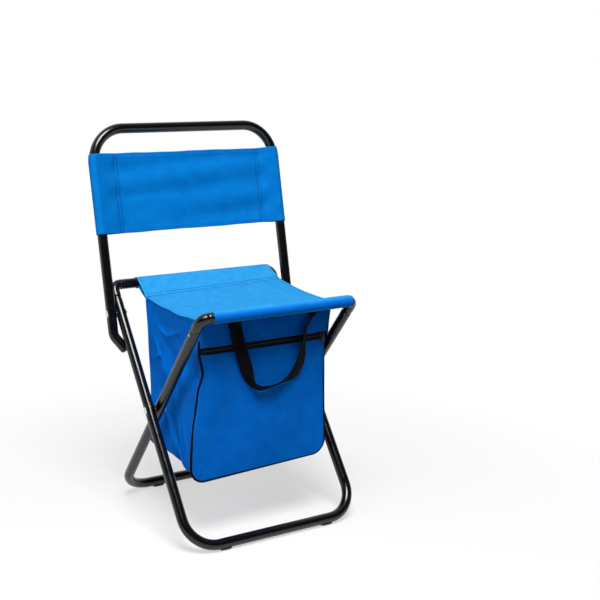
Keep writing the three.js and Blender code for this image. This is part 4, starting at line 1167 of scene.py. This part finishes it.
# Creases of the sides: start and end as (y, z), width and height; below 0 is a valley
LEFT_CREASES = (
    ((40, 306), (7, 297), 3, 4.6), ((7, 297), (-38, 314), 3, 4.2), ((30, 312), (-20, 312), 14, -2.5),
    ((55, 290), (36, 266), 2.5, 4.2), ((36, 266), (30, 260), 2.5, 3.6), ((32, 261), (48, 254), 2.5, 3.4),
    ((22, 284), (4, 272), 12, -2.5), ((24, 257), (15, 230), 2.5, 4.0), ((4, 262), (-4, 226), 10, -2.5),
    ((40, 208), (28, 188), 2.5, 3.6), ((12, 180), (-66, 102), 3, 5.0), ((-22, 152), (-74, 104), 3, 4.4),
    ((2, 152), (-50, 112), 7, -4.5), ((-4, 166), (-40, 128), 3, 3.2), ((-36, 186), (-80, 112), 6, -3.5),
    ((-46, 204), (-86, 112), 4, 3.2), ((-80, 286), (-97, 264), 7, 2.5), ((-50, 262), (-34, 226), 8, 2.0),
)
RIGHT_CREASES = (
    ((48, 296), (-6, 286), 6, 4.0), ((-6, 286), (-46, 302), 5, -3.5), ((30, 280), (20, 238), 6, 3.5),
    ((8, 206), (-40, 182), 7, 3.5), ((-24, 150), (-58, 124), 5, 4.0), ((26, 152), (-4, 120), 5, -3.5),
    ((-66, 214), (-76, 130), 6, 3.0), ((44, 190), (56, 140), 7, 3.0),
)
GUSSET_COLUMNS = 110
SIDE_INSET, SIDE_DROP = 2.2 * MM, 1.6 * MM
RIGHT_SEAT_COLUMN = int(0.9 * SEAT_COLUMNS)
SIDE_DRAW_IN, BOTTOM_DRAW_IN = 6 * MM, 9 * MM
SEAT_FADE, DRAW_FADE = 70 * MM, 60 * MM
# Turns across the strip and for each metre along it
SIDE_WAVES = ((1.0 * MM, 2.3, 1 / 0.11, 0), (0.6 * MM, 3.9, -1 / 0.07, 1))
BOTTOM_WAVES = ((1.2 * MM, 3, 1 / 0.06, 0),)


def gusset_grid():
    """The gusset: one strip down the left side, along the bottom and up the right side, spanning from the
    front outline to the rear one. Its top follows the seat above it, it is drawn in half way back, and
    creases stand out of it."""
    front = bag_outline(front_edges, BAG_TOP - 4 * MM, FRONT_BOTTOM, FRONT_CORNERS)
    rear = bag_outline(rear_edges, REAR_SEAM[1] - 6 * MM, REAR_BOTTOM, REAR_CORNERS)
    near = front_place(*front.T, 0)
    far = np.stack([rear[:, 0], rear_y(rear[:, 1]), rear[:, 1]], axis=1)
    t = np.linspace(0, 1, GUSSET_COLUMNS)[None]
    grid = mix(near[:, None], far[:, None], t[..., None])
    fade = 1 - ease((BAG_TOP - grid[..., 2]) / SEAT_FADE)
    for row, column in ((0, 0), (-1, RIGHT_SEAT_COLUMN)):
        x, z = seat_line(column, grid[row, :, 1])
        half = (grid[..., 0] < 0) == (row == 0)
        if row == 0:
            grid[..., 0] += half * fade * (x + SIDE_INSET - grid[row, :, 0]) * ease(t / 0.2)
        grid[..., 2] += half * fade * (z - SIDE_DROP - grid[row, :, 2])
    along = unit(np.gradient((front + rear) / 2, axis=0))
    outward = np.stack([along[:, 1], np.zeros(len(along)), -along[:, 0]], axis=1)
    is_side = ease((np.abs(outward[:, :1]) - 0.3) / 0.6)
    below_top = ease((BAG_TOP - grid[..., 2]) / DRAW_FADE)
    ridges = 0
    for creases, chosen in ((LEFT_CREASES, grid[..., 0] < 0), (RIGHT_CREASES, grid[..., 0] >= 0)):
        for crease in creases:
            ridges = ridges + chosen * ridge_line(grid[..., 1:], *crease)
    depth = np.sin(np.pi * t) ** 0.8
    held = np.minimum(1, 6 * np.minimum(t, 1 - t)) * below_top**0.5
    loose = depth * below_top * (waves(SIDE_WAVES, t, grid[..., 2]) - SIDE_DRAW_IN)
    bottom = depth * (waves(BOTTOM_WAVES, t, grid[..., 0]) - BOTTOM_DRAW_IN)
    move = is_side * (held * ridges + loose) + (1 - is_side) * bottom
    return grid + outward[:, None] * move[..., None]


def flatten(piece):
    """Applies a piece's modifiers, wall and all, to a mesh of its own."""
    graph = bpy.context.evaluated_depsgraph_get()
    final = bpy.data.meshes.new_from_object(piece.evaluated_get(graph))
    piece.modifiers.clear()
    piece.data = final
    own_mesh(piece)


def bag_gusset():
    """The sheet of gusset_grid."""
    grid = gusset_grid()
    piece = cloth_sheet("bag_gusset", grid)
    dress(piece, BAG_BLUE, "blue_cloth", "bag_side_left", "bag_side_right", "bag_bottom")
    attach(piece, "front_legs")
    flatten(piece)


# Bag rear and liner: heights of relief in millimetres
REAR_BELLY = 2.5
REAR_SLACK = ((1.3, 1.7, 0.6, 0), (0.8, 3.3, -0.8, 1.2))
REAR_ROWS = 100
REAR_TOP_DROP = 1.4 * MM
REAR_EDGE_RADIUS, REAR_EDGE_SIDES, REAR_EDGE_POINTS, REAR_EDGE_OUT = 1.1 * MM, 10, 300, 0.6 * MM
LINER_BOX = ((-94 * MM, 97 * MM), (-96 * MM, 46 * MM), (112 * MM, 337 * MM))
LINER_RISE = 68 * MM
LINER_SLOPE = 100 * MM
LINER_WALL = 2 * MM
LINER_POWER = 0.24
LINER_SIDES, LINER_BOTTOM_ROWS, LINER_WALL_ROWS = 96, 14, 40


def bag_rear():
    """The rear panel: a sheet over its outline that is drawn in half way down and has slack waves, with a
    cord along its edge."""
    top_share = np.linspace(0, 1, PANEL_COLUMNS)[None]
    rear_top = mix(REAR_SEAM_ENDS[0][2], REAR_SEAM_ENDS[1][2], top_share) - REAR_TOP_DROP
    x, z, u, v = panel_grid(rear_edges, rear_top, REAR_BOTTOM, REAR_CORNERS, REAR_ROWS)
    out = np.sin(np.pi * v) * (REAR_BELLY * np.sin(np.pi * u) + waves(REAR_SLACK, u, v))
    grid = np.stack([x, rear_y(z) + out * MM, z], axis=-1)
    piece = cloth_sheet("bag_rear_sheet", grid)
    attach(dress(piece, BAG_BLUE, "blue_cloth", "bag_rear_panel"), "bag_rear")
    outline = bag_outline(rear_edges, REAR_SEAM[1] - 9 * MM, REAR_BOTTOM, REAR_CORNERS)
    x, z = spaced(outline, REAR_EDGE_POINTS).T
    points = np.stack([x, rear_y(z) + REAR_EDGE_OUT, z], axis=1)
    seam = closed_tube("bag_rear_edge", cord_grid(points, REAR_EDGE_RADIUS, REAR_EDGE_SIDES))
    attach(dress(seam, BAG_BLUE, "blue_cloth"), "bag_rear")


def bag_liner():
    """The liner: rounded rectangles (a superellipse) that spread over the bottom and rise up the walls.
    The bottom rises smoothly towards the front, so that the liner stays behind the front panel when the
    stool is folded."""
    (left, right), (near, far), (bottom, top) = LINER_BOX
    angle = full_turn(LINER_SIDES)
    spread = np.concatenate([np.linspace(0.02, 1, LINER_BOTTOM_ROWS), np.ones(LINER_WALL_ROWS)])[:, None]
    climb = np.linspace(0, 1, LINER_WALL_ROWS + 1)[1:]
    rise = np.concatenate([np.zeros(LINER_BOTTOM_ROWS), climb])[:, None]
    wide = spread * (1 + 0.006 * np.sin(9 * angle + 14 * rise) * rise)
    x = (left + right) / 2 + (right - left) / 2 * wide * signed_power(np.cos(angle), LINER_POWER)
    y = (near + far) / 2 + (far - near) / 2 * wide * signed_power(np.sin(angle), LINER_POWER)
    lowest = bottom + LINER_RISE * ease((near + LINER_SLOPE - y) / LINER_SLOPE)
    grid = np.stack([x, y, mix(lowest, top, rise)], axis=-1)
    piece = walled(surface("bag_lining", grid, wrap=True, caps="first"), LINER_WALL)
    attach(dress(piece, FOIL, "foil_liner", "bag_liner"), "front_legs")
    flatten(piece)


# Zip
TAPE_ROWS, TAPE_COLUMNS = 12, 120
TAPE_HEM, TAPE_INSET, TAPE_BEHIND, TAPE_WALL = 1 * MM, 1.5 * MM, 0.1 * MM, 0.6 * MM
TAPE_RIDGE, TAPE_RIDGE_WIDTH = 0.25 * MM, 3 * MM
HALF_COIL = 1.3 * MM
TEETH_PITCH, TEETH_STEPS, TEETH_INSET = 1.5 * MM, 5, 3 * MM
COIL_SIDES, COIL_HALF_DEPTH, COIL_HALF_HEIGHT, COIL_OUT = 16, 1 * MM, 1.35 * MM, 0.2 * MM
SLIDER_DEPTH, SLIDER_POWER = 2.2 * MM, 0.45
BRIDGE_HALF, BRIDGE_SINK, BRIDGE_BEND, BRIDGE_RADIUS = 2.4 * MM, 1 * MM, 1 * MM, 0.65 * MM
BRIDGE_STEP, BRIDGE_POINTS, BRIDGE_SIDES = 0.3 * MM, 10, 16
PULL_BAR = joint_place("zip_pull_swing")
TAB_ROWS, TAB_SIDES = 60, 24
TAB_TOP, TAB_NECK, TAB_FLARE, TAB_HALF_DEPTH = 1 * MM, 1.2 * MM, 1.8 * MM, 0.55 * MM
EYE_POINTS, EYE_SIDES, EYE_RADIUS, EYE_WIRE = 32, 12, 1.25 * MM, 0.45 * MM


def zip_tapes():
    """Two woven tapes, each a flat strip with a slight ridge at its inner edge."""
    for z0, z1, node_name, label in (
        (ZIP_MIDDLE + HALF_COIL, ZIP_HIGH + TAPE_HEM, "zip_tape_upper", "zip_tape_high"),
        (ZIP_LOW - TAPE_HEM, ZIP_MIDDLE - HALF_COIL, "zip_tape_lower", "zip_tape_low"),
    ):
        z = np.linspace(z0, z1, TAPE_ROWS)[:, None]
        left, right = front_edges(z)
        x = mix(left + TAPE_INSET, right - TAPE_INSET, np.linspace(0, 1, TAPE_COLUMNS)[None])
        ridge = TAPE_RIDGE * bump(z, ZIP_MIDDLE, TAPE_RIDGE_WIDTH)
        piece = cloth_sheet(label, front_place(x, z, ridge - TAPE_BEHIND), TAPE_WALL)
        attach(dress(piece, TAPE, "black_webbing", node_name), "bag_front")


def zip_coil():
    """The closed coil: a rounded bar whose half round swells and narrows once for each tooth, the two rows
    half a pitch apart."""
    left, right = front_edges(ZIP_MIDDLE)
    count = int((right - left - 2 * TEETH_INSET) / TEETH_PITCH)
    x = left + TEETH_INSET + np.linspace(0, count * TEETH_PITCH, count * TEETH_STEPS + 1)[:, None]
    angle = full_turn(COIL_SIDES)[None]
    phase = np.pi * (np.sin(angle) > 0)
    swell = 0.72 + 0.28 * np.cos(2 * np.pi * x / TEETH_PITCH + phase)
    out = COIL_HALF_DEPTH * np.cos(angle) * swell + COIL_OUT
    z = ZIP_MIDDLE + COIL_HALF_HEIGHT * np.sin(angle) * (0.85 + 0.15 * swell)
    piece = closed_tube("zip_teeth", front_place(x, z, out))
    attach(dress(piece, COIL, "zip_coil", "zip_coil"), "bag_front")


def pillow(name, low_corner, high_corner, power, rows=25, columns=40):
    """A rounded block: a superellipsoid, with sines and cosines raised to a power, filling a box."""
    middle, half = (low_corner + high_corner) / 2, (high_corner - low_corner) / 2
    tilt = np.linspace(-np.pi / 2 + 0.02, np.pi / 2 - 0.02, rows)[:, None]
    turn = full_turn(columns)[None]
    level = signed_power(np.cos(tilt), power)
    shape = np.stack(np.broadcast_arrays(
        level * signed_power(np.cos(turn), power),
        signed_power(np.sin(tilt), power),
        level * signed_power(np.sin(turn), power),
    ), axis=-1)
    return surface(name, middle + half * shape, wrap=True, caps=True, sharp=60.0)


def zip_slider():
    """The slider's rounded body and the bridge that carries its pull, a bent round bar."""
    small, large = low("zip_slider"), high("zip_slider")
    body_front = large[1] - SLIDER_DEPTH
    body = pillow("zip_slider_body", np.array([small[0], body_front, small[2]]), large, SLIDER_POWER)
    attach(dress(body, LACQUER, "zip_metal", "zip_slider"), "zip_slider")
    middle = (small[0] + large[0]) / 2
    sunk = body_front + BRIDGE_SINK
    corners = [np.array([middle + hand * BRIDGE_HALF, y, PULL_BAR[2]]) for hand, y in (
        (-1, sunk), (-1, PULL_BAR[1]), (1, PULL_BAR[1]), (1, sunk))]
    points, tangents = bent_path(corners, [BRIDGE_BEND, BRIDGE_BEND], BRIDGE_STEP, BRIDGE_POINTS)
    grid = tube_grid(points, tangents, ALONG_Z, BRIDGE_RADIUS, BRIDGE_SIDES)
    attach(dress(closed_tube("zip_slider_bridge", grid), LACQUER, "zip_metal"), "zip_slider")


def zip_pull():
    """The pull: an eye round the bridge, drawn out into a flat tab with rounded ends. Its section is a
    superellipse whose width and thickness change along its length."""
    small, large = low("zip_pull"), high("zip_pull")
    middle = (small[0] + large[0]) / 2
    drop = np.linspace(0, 1, TAB_ROWS)[:, None]
    width = TAB_NECK + TAB_FLARE * ease((drop - 0.08) / 0.3)
    width = width * np.sqrt(np.clip(1 - np.clip((drop - 0.86) / 0.14, 0, 1) ** 2, 0.03, 1))
    waist = 1 - 0.25 * bump(drop, 0.6, 0.14)
    dish = 1 - 0.3 * bump(drop, 0.6, 0.2)
    angle = full_turn(TAB_SIDES)[None]
    x = middle + width * waist * signed_power(np.cos(angle), 0.5)
    y = PULL_BAR[1] + TAB_HALF_DEPTH * dish * signed_power(np.sin(angle), 0.6)
    z = mix(PULL_BAR[2] - TAB_TOP, small[2], drop)
    tab = closed_tube("zip_pull_tab", np.stack(np.broadcast_arrays(x, y, z), axis=-1))
    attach(dress(tab, LACQUER, "zip_metal", "zip_pull"), "zip_pull")
    angle = full_turn(EYE_POINTS)
    across, along = np.sin(angle), np.cos(angle)
    points = at(middle, PULL_BAR[1:]) + EYE_RADIUS * np.stack([0 * angle, across, along], axis=1)
    ring = tube_grid(points, np.stack([0 * angle, along, -across], axis=1), ALONG_X, EYE_WIRE, EYE_SIDES)
    eye = merged(surface("zip_pull_eye", np.concatenate([ring, ring[:1]]), wrap=True))
    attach(dress(eye, LACQUER, "zip_metal"), "zip_pull")


# Carrying straps
STRAP_WIDTH = 20 * MM
STRAP_HALF = 0.75 * MM
STRAP_POINTS, STRAP_SIDES = 220, 28
STRAP_GATHER = 0.1
STRAP_BASE = 1.2 * MM
STRAP_STITCH_SHARE, STRAP_STITCH_LIFT, STRAP_STITCH_REACH = 0.38, 0.15 * MM, 12 * MM
# Each row: x, z, how far out from the panel, twist in degrees
FRONT_STRAP = np.array([
    (-53.6, 346.0, 1.6, 0), (-52.7, 335.0, 2.4, 0), (-50.0, 323.0, 3.5, -4), (-47.2, 303.4, 5.5, -8),
    (-43.7, 290.7, 7.0, -6), (-40.2, 278.1, 8.6, -8), (-36.2, 263.5, 10.1, -30), (-32.5, 249.4, 11.2, -60),
    (-27.6, 240.8, 12.0, -69), (-18.4, 233.4, 12.7, -63), (-8.4, 230.5, 13.1, -54), (3.3, 231.0, 13.1, -56),
    (15.8, 233.2, 13.1, -60), (29.6, 238.0, 12.7, -46), (45.4, 245.5, 12.0, -22), (56.7, 258.2, 10.8, -16),
    (63.0, 271.5, 9.3, -22), (65.7, 285.7, 7.8, -32), (69.9, 302.1, 6.3, -44), (72.7, 313.2, 5.1, -46),
    (79.4, 322.3, 4.0, -47), (83.4, 328.0, 3.0, -42), (85.2, 333.5, 1.8, -8), (85.2, 342.0, 1.6, 0),
])
REAR_STRAP = np.array([
    (-64, 345.5, 1.6, 0), (-64, 337, 2.2, 0), (-61, 320, 6, -4), (-54, 290, 10, -10), (-42, 262, 13, -26),
    (-18, 240, 15, -50), (6, 235, 15, -56), (30, 242, 15, -46), (50, 266, 12, -20), (60, 296, 9, -8),
    (66, 322, 5, 0), (68, 340, 2.2, 0), (68, 350, 1.6, 0),
])


def smooth_route(rows, count):
    """A smooth curve through rows of values: cubic pieces whose slope at a row is half the step between
    its neighbours."""
    slopes = np.gradient(rows, axis=0)
    place = np.linspace(0, len(rows) - 1, count)
    first = np.minimum(place.astype(int), len(rows) - 2)
    t = (place - first)[:, None]
    a, b, da, db = rows[first], rows[first + 1], slopes[first], slopes[first + 1]
    hermite = (2 * t**3 - 3 * t**2 + 1) * a + (t**3 - 2 * t**2 + t) * da
    return hermite + (3 * t**2 - 2 * t**3) * b + (t**3 - t**2) * db


def strap(name, rows, face_y, outward, node_name):
    """Webbing: a flat section with rounded edges carried along a smooth route and twisted about it. Across
    the strap runs cos(twist) * sideways + sin(twist) * outward."""
    x, z, out, twist = smooth_route(rows * (MM, MM, MM, math.pi / 180), STRAP_POINTS).T
    points = np.stack([x, face_y + outward * out, z], axis=1)
    tangents = unit(np.gradient(points, axis=0))
    facing = outward * ALONG_Y
    sideways = unit(np.cross(tangents, facing))
    normal = np.cross(sideways, tangents)
    across = np.cos(twist)[:, None] * sideways + np.sin(twist)[:, None] * normal
    through = np.cross(tangents, across)
    angle = full_turn(STRAP_SIDES)
    wide = STRAP_WIDTH / 2 * signed_power(np.cos(angle), 0.3)
    thick = STRAP_HALF * signed_power(np.sin(angle), 0.55)
    gather = 1 - STRAP_GATHER * np.sin(np.abs(twist)) ** 2
    section = across[:, None] * (gather[:, None] * wide)[..., None] + through[:, None] * thick[:, None]
    around = np.concatenate([wide, wide[:1]])[None]
    uv = np.stack(np.broadcast_arrays(around, lengths_along(points, 0)[:, None]), axis=-1)
    piece = surface(name, points[:, None] + section, wrap=True, caps=True, uv=uv, sharp=70.0)
    dress(piece, WEBBING, "black_webbing", node_name)
    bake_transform(piece)
    for end_rows, label in ((slice(3, 26), "left"), (slice(-26, -3), "right")):
        for share, side in ((-STRAP_STITCH_SHARE, "a"), (STRAP_STITCH_SHARE, "b")):
            line = points[end_rows] + across[end_rows] * STRAP_WIDTH * share
            line = line + facing * (STRAP_HALF + STRAP_STITCH_LIFT)
            line = line[np.abs(line[:, 2] - rows[0, 1] * MM) < STRAP_STITCH_REACH]
            row_name = f"{name}_stitches_{label}_{side}"
            row = stitch_row(row_name, line, facing, BLACK_THREAD, "black_webbing")
            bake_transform(row)


# Camera, floor and light
EYE = np.array([-0.8252, -1.42675, 0.6908])
AZIMUTH = math.radians(-29.693)
ELEVATION = math.radians(13.803)
FOCAL_PIXELS = 1070.3
FRAME_PIXELS = 600
PRINCIPAL_PIXEL = (223, 336)
AIM = np.array([0, 0, 0.3])
# Each lamp: name, place, size, power and whether reflections show it
LAMPS = (
    ("key", (-0.5, -1.1, 2.5), 1.3, 82, True), ("left", (-2.3, -0.3, 1.2), 2.4, 29, False),
    ("right", (1.7, -1.9, 1.3), 1.4, 4, False))
WORLD_LIGHT, ROOM_MIRRORED, BACKDROP_MIRRORED = 0.08, 0.05, 0.9
FLOOR_HALF = 8.0
FLOOR_LIT, FLOOR_SHOWN = (0.28, 0.28, 0.28), (0.82, 0.82, 0.82)
WHITE_START, WHITE_END, WHITE_LEAST = 0.2, 0.75, 0.58


def set_camera():
    """The camera at the photograph's viewing angle; the shift sets the stool left of and below the
    middle."""
    data = bpy.data.cameras.new("camera")
    data.sensor_width = 36.0
    data.lens = FOCAL_PIXELS / FRAME_PIXELS * data.sensor_width
    data.shift_x = (FRAME_PIXELS / 2 - PRINCIPAL_PIXEL[0]) / FRAME_PIXELS
    data.shift_y = (PRINCIPAL_PIXEL[1] - FRAME_PIXELS / 2) / FRAME_PIXELS
    camera = bpy.data.objects.new("camera", data)
    camera.location = EYE
    camera.rotation_euler = (math.pi / 2 - ELEVATION, 0, AZIMUTH)
    bpy.context.scene.collection.objects.link(camera)
    bpy.context.scene.camera = camera


def area_light(name, place, size, power, mirrored):
    """A round lamp that looks at the stool."""
    data = bpy.data.lights.new(name, "AREA")
    data.shape = "DISK"
    data.size = size
    data.energy = power
    lamp = bpy.data.objects.new(name, data)
    lamp.location = place
    lamp.visible_glossy = mirrored
    away = np.array(place) - AIM
    flat = math.hypot(away[0], away[1])
    lamp.rotation_euler = (math.atan2(flat, away[2]), 0, math.atan2(away[1], away[0]) + math.pi / 2)
    bpy.context.scene.collection.objects.link(lamp)


def shown(tree):
    """1 where the background is looked at, straight on or in a reflection, and 0 where it only lights
    things."""
    rays = node(tree, "ShaderNodeLightPath").outputs
    seen = math_node(tree, "MAXIMUM", rays["Is Camera Ray"], rays["Is Glossy Ray"])
    return math_node(tree, "MAXIMUM", seen, rays["Is Transmission Ray"])


def set_light():
    """A soft key high on the left, two weak fills, and a world that is white where it is looked at. In
    reflections the backdrop behind the stool is white and the dark room is on the camera's side."""
    for lamp in LAMPS:
        area_light(*lamp)
    world = bpy.data.worlds.new("studio")
    bpy.context.scene.world = world
    world.use_nodes = True
    tree = world.node_tree
    background = tree.nodes["Background"]
    background.inputs["Color"].default_value = (1, 1, 1, 1)
    way = node(tree, "ShaderNodeSeparateXYZ", {0: node(tree, "ShaderNodeTexCoord").outputs["Generated"]})
    behind = node(tree, "ShaderNodeMapRange", {
        "Value": way.outputs["Y"], "From Min": -0.3, "From Max": 0.5, "To Min": ROOM_MIRRORED,
        "To Max": BACKDROP_MIRRORED})
    rays = node(tree, "ShaderNodeLightPath").outputs
    mirrored = node(tree, "ShaderNodeMix", {0: shown(tree), 2: WORLD_LIGHT, 3: behind.outputs["Result"]})
    seen = node(tree, "ShaderNodeMix", {0: rays["Is Camera Ray"], 2: mirrored.outputs[0], 3: 1.0})
    tree.links.new(seen.outputs[0], background.inputs["Strength"])
    bpy.context.scene.view_settings.view_transform = "Standard"


def floor():
    """A plain pale floor, far larger than the view, that turns to the backdrop's white away from the
    stool."""
    edge = np.array([-FLOOR_HALF, FLOOR_HALF])
    x, y = np.meshgrid(edge, edge)
    piece = surface("floor", np.stack([x, y, 0 * x], axis=-1))
    material, tree, shader, where = new_material("pale_floor", {"Roughness": 0.9, "Specular IOR Level": 0.1})
    seen = shown(tree)
    tree.links.new(colour_between(tree, seen, FLOOR_LIT, FLOOR_SHOWN), shader.inputs["Base Color"])
    reach = node(tree, "ShaderNodeVectorMath", {0: where["Object"]}, operation="LENGTH")
    far = node(tree, "ShaderNodeMapRange", {
        "Value": reach.outputs["Value"], "From Min": WHITE_START, "From Max": WHITE_END,
        "To Min": WHITE_LEAST})
    white = node(tree, "ShaderNodeEmission", {"Color": (1, 1, 1, 1), "Strength": 1.0})
    share = math_node(tree, "MULTIPLY", far.outputs["Result"], seen)
    both = node(tree, "ShaderNodeMixShader", {0: share, 1: shader.outputs[0], 2: white.outputs[0]})
    tree.links.new(both.outputs[0], tree.nodes["Material Output"].inputs["Surface"])
    piece.data.materials.append(material)


# The stool
set_camera()
floor()
set_light()
leg_frame("front_leg_frame", "front_legs", FRONT_FOOT, REAR_BAR, OUTER_UP, OUTER, (LEG_PIVOT, BACK_PIVOT))
leg_frame("rear_leg_frame", "rear_legs", REAR_FOOT, FRONT_BAR, INNER_UP, INNER, (LEG_PIVOT,))
seat_bar("rear_seat_bar", "front_legs", REAR_BAR, OUTER_UP, OUTER, REAR_CRUSH)
seat_bar("front_seat_bar", "rear_legs", FRONT_BAR, INNER_UP, INNER, FRONT_CRUSH)
backrest_frame()
fasteners()
for _, hand_label in SIDES:
    foot_pad(f"front_foot_pad_{hand_label}", "front_legs", FRONT_FOOT)
    foot_pad(f"rear_foot_pad_{hand_label}", "rear_legs", REAR_FOOT)
backrest_cloth()
seat_cloth()
hem_return("front", SEAT_GRID[-1], FRONT_SEAM_ENDS)
hem_return("rear", SEAT_GRID[0], REAR_SEAM_ENDS)
bag_front()
bag_piping()
bag_gusset()
bag_rear()
bag_liner()
zip_tapes()
zip_coil()
zip_slider()
zip_pull()
strap("front_strap", FRONT_STRAP, PANEL_Y - STRAP_BASE, -1.0, "front_handle")
strap("rear_strap", REAR_STRAP, REAR_SEAM[0] + STRAP_BASE, 1.0, "rear_handle")
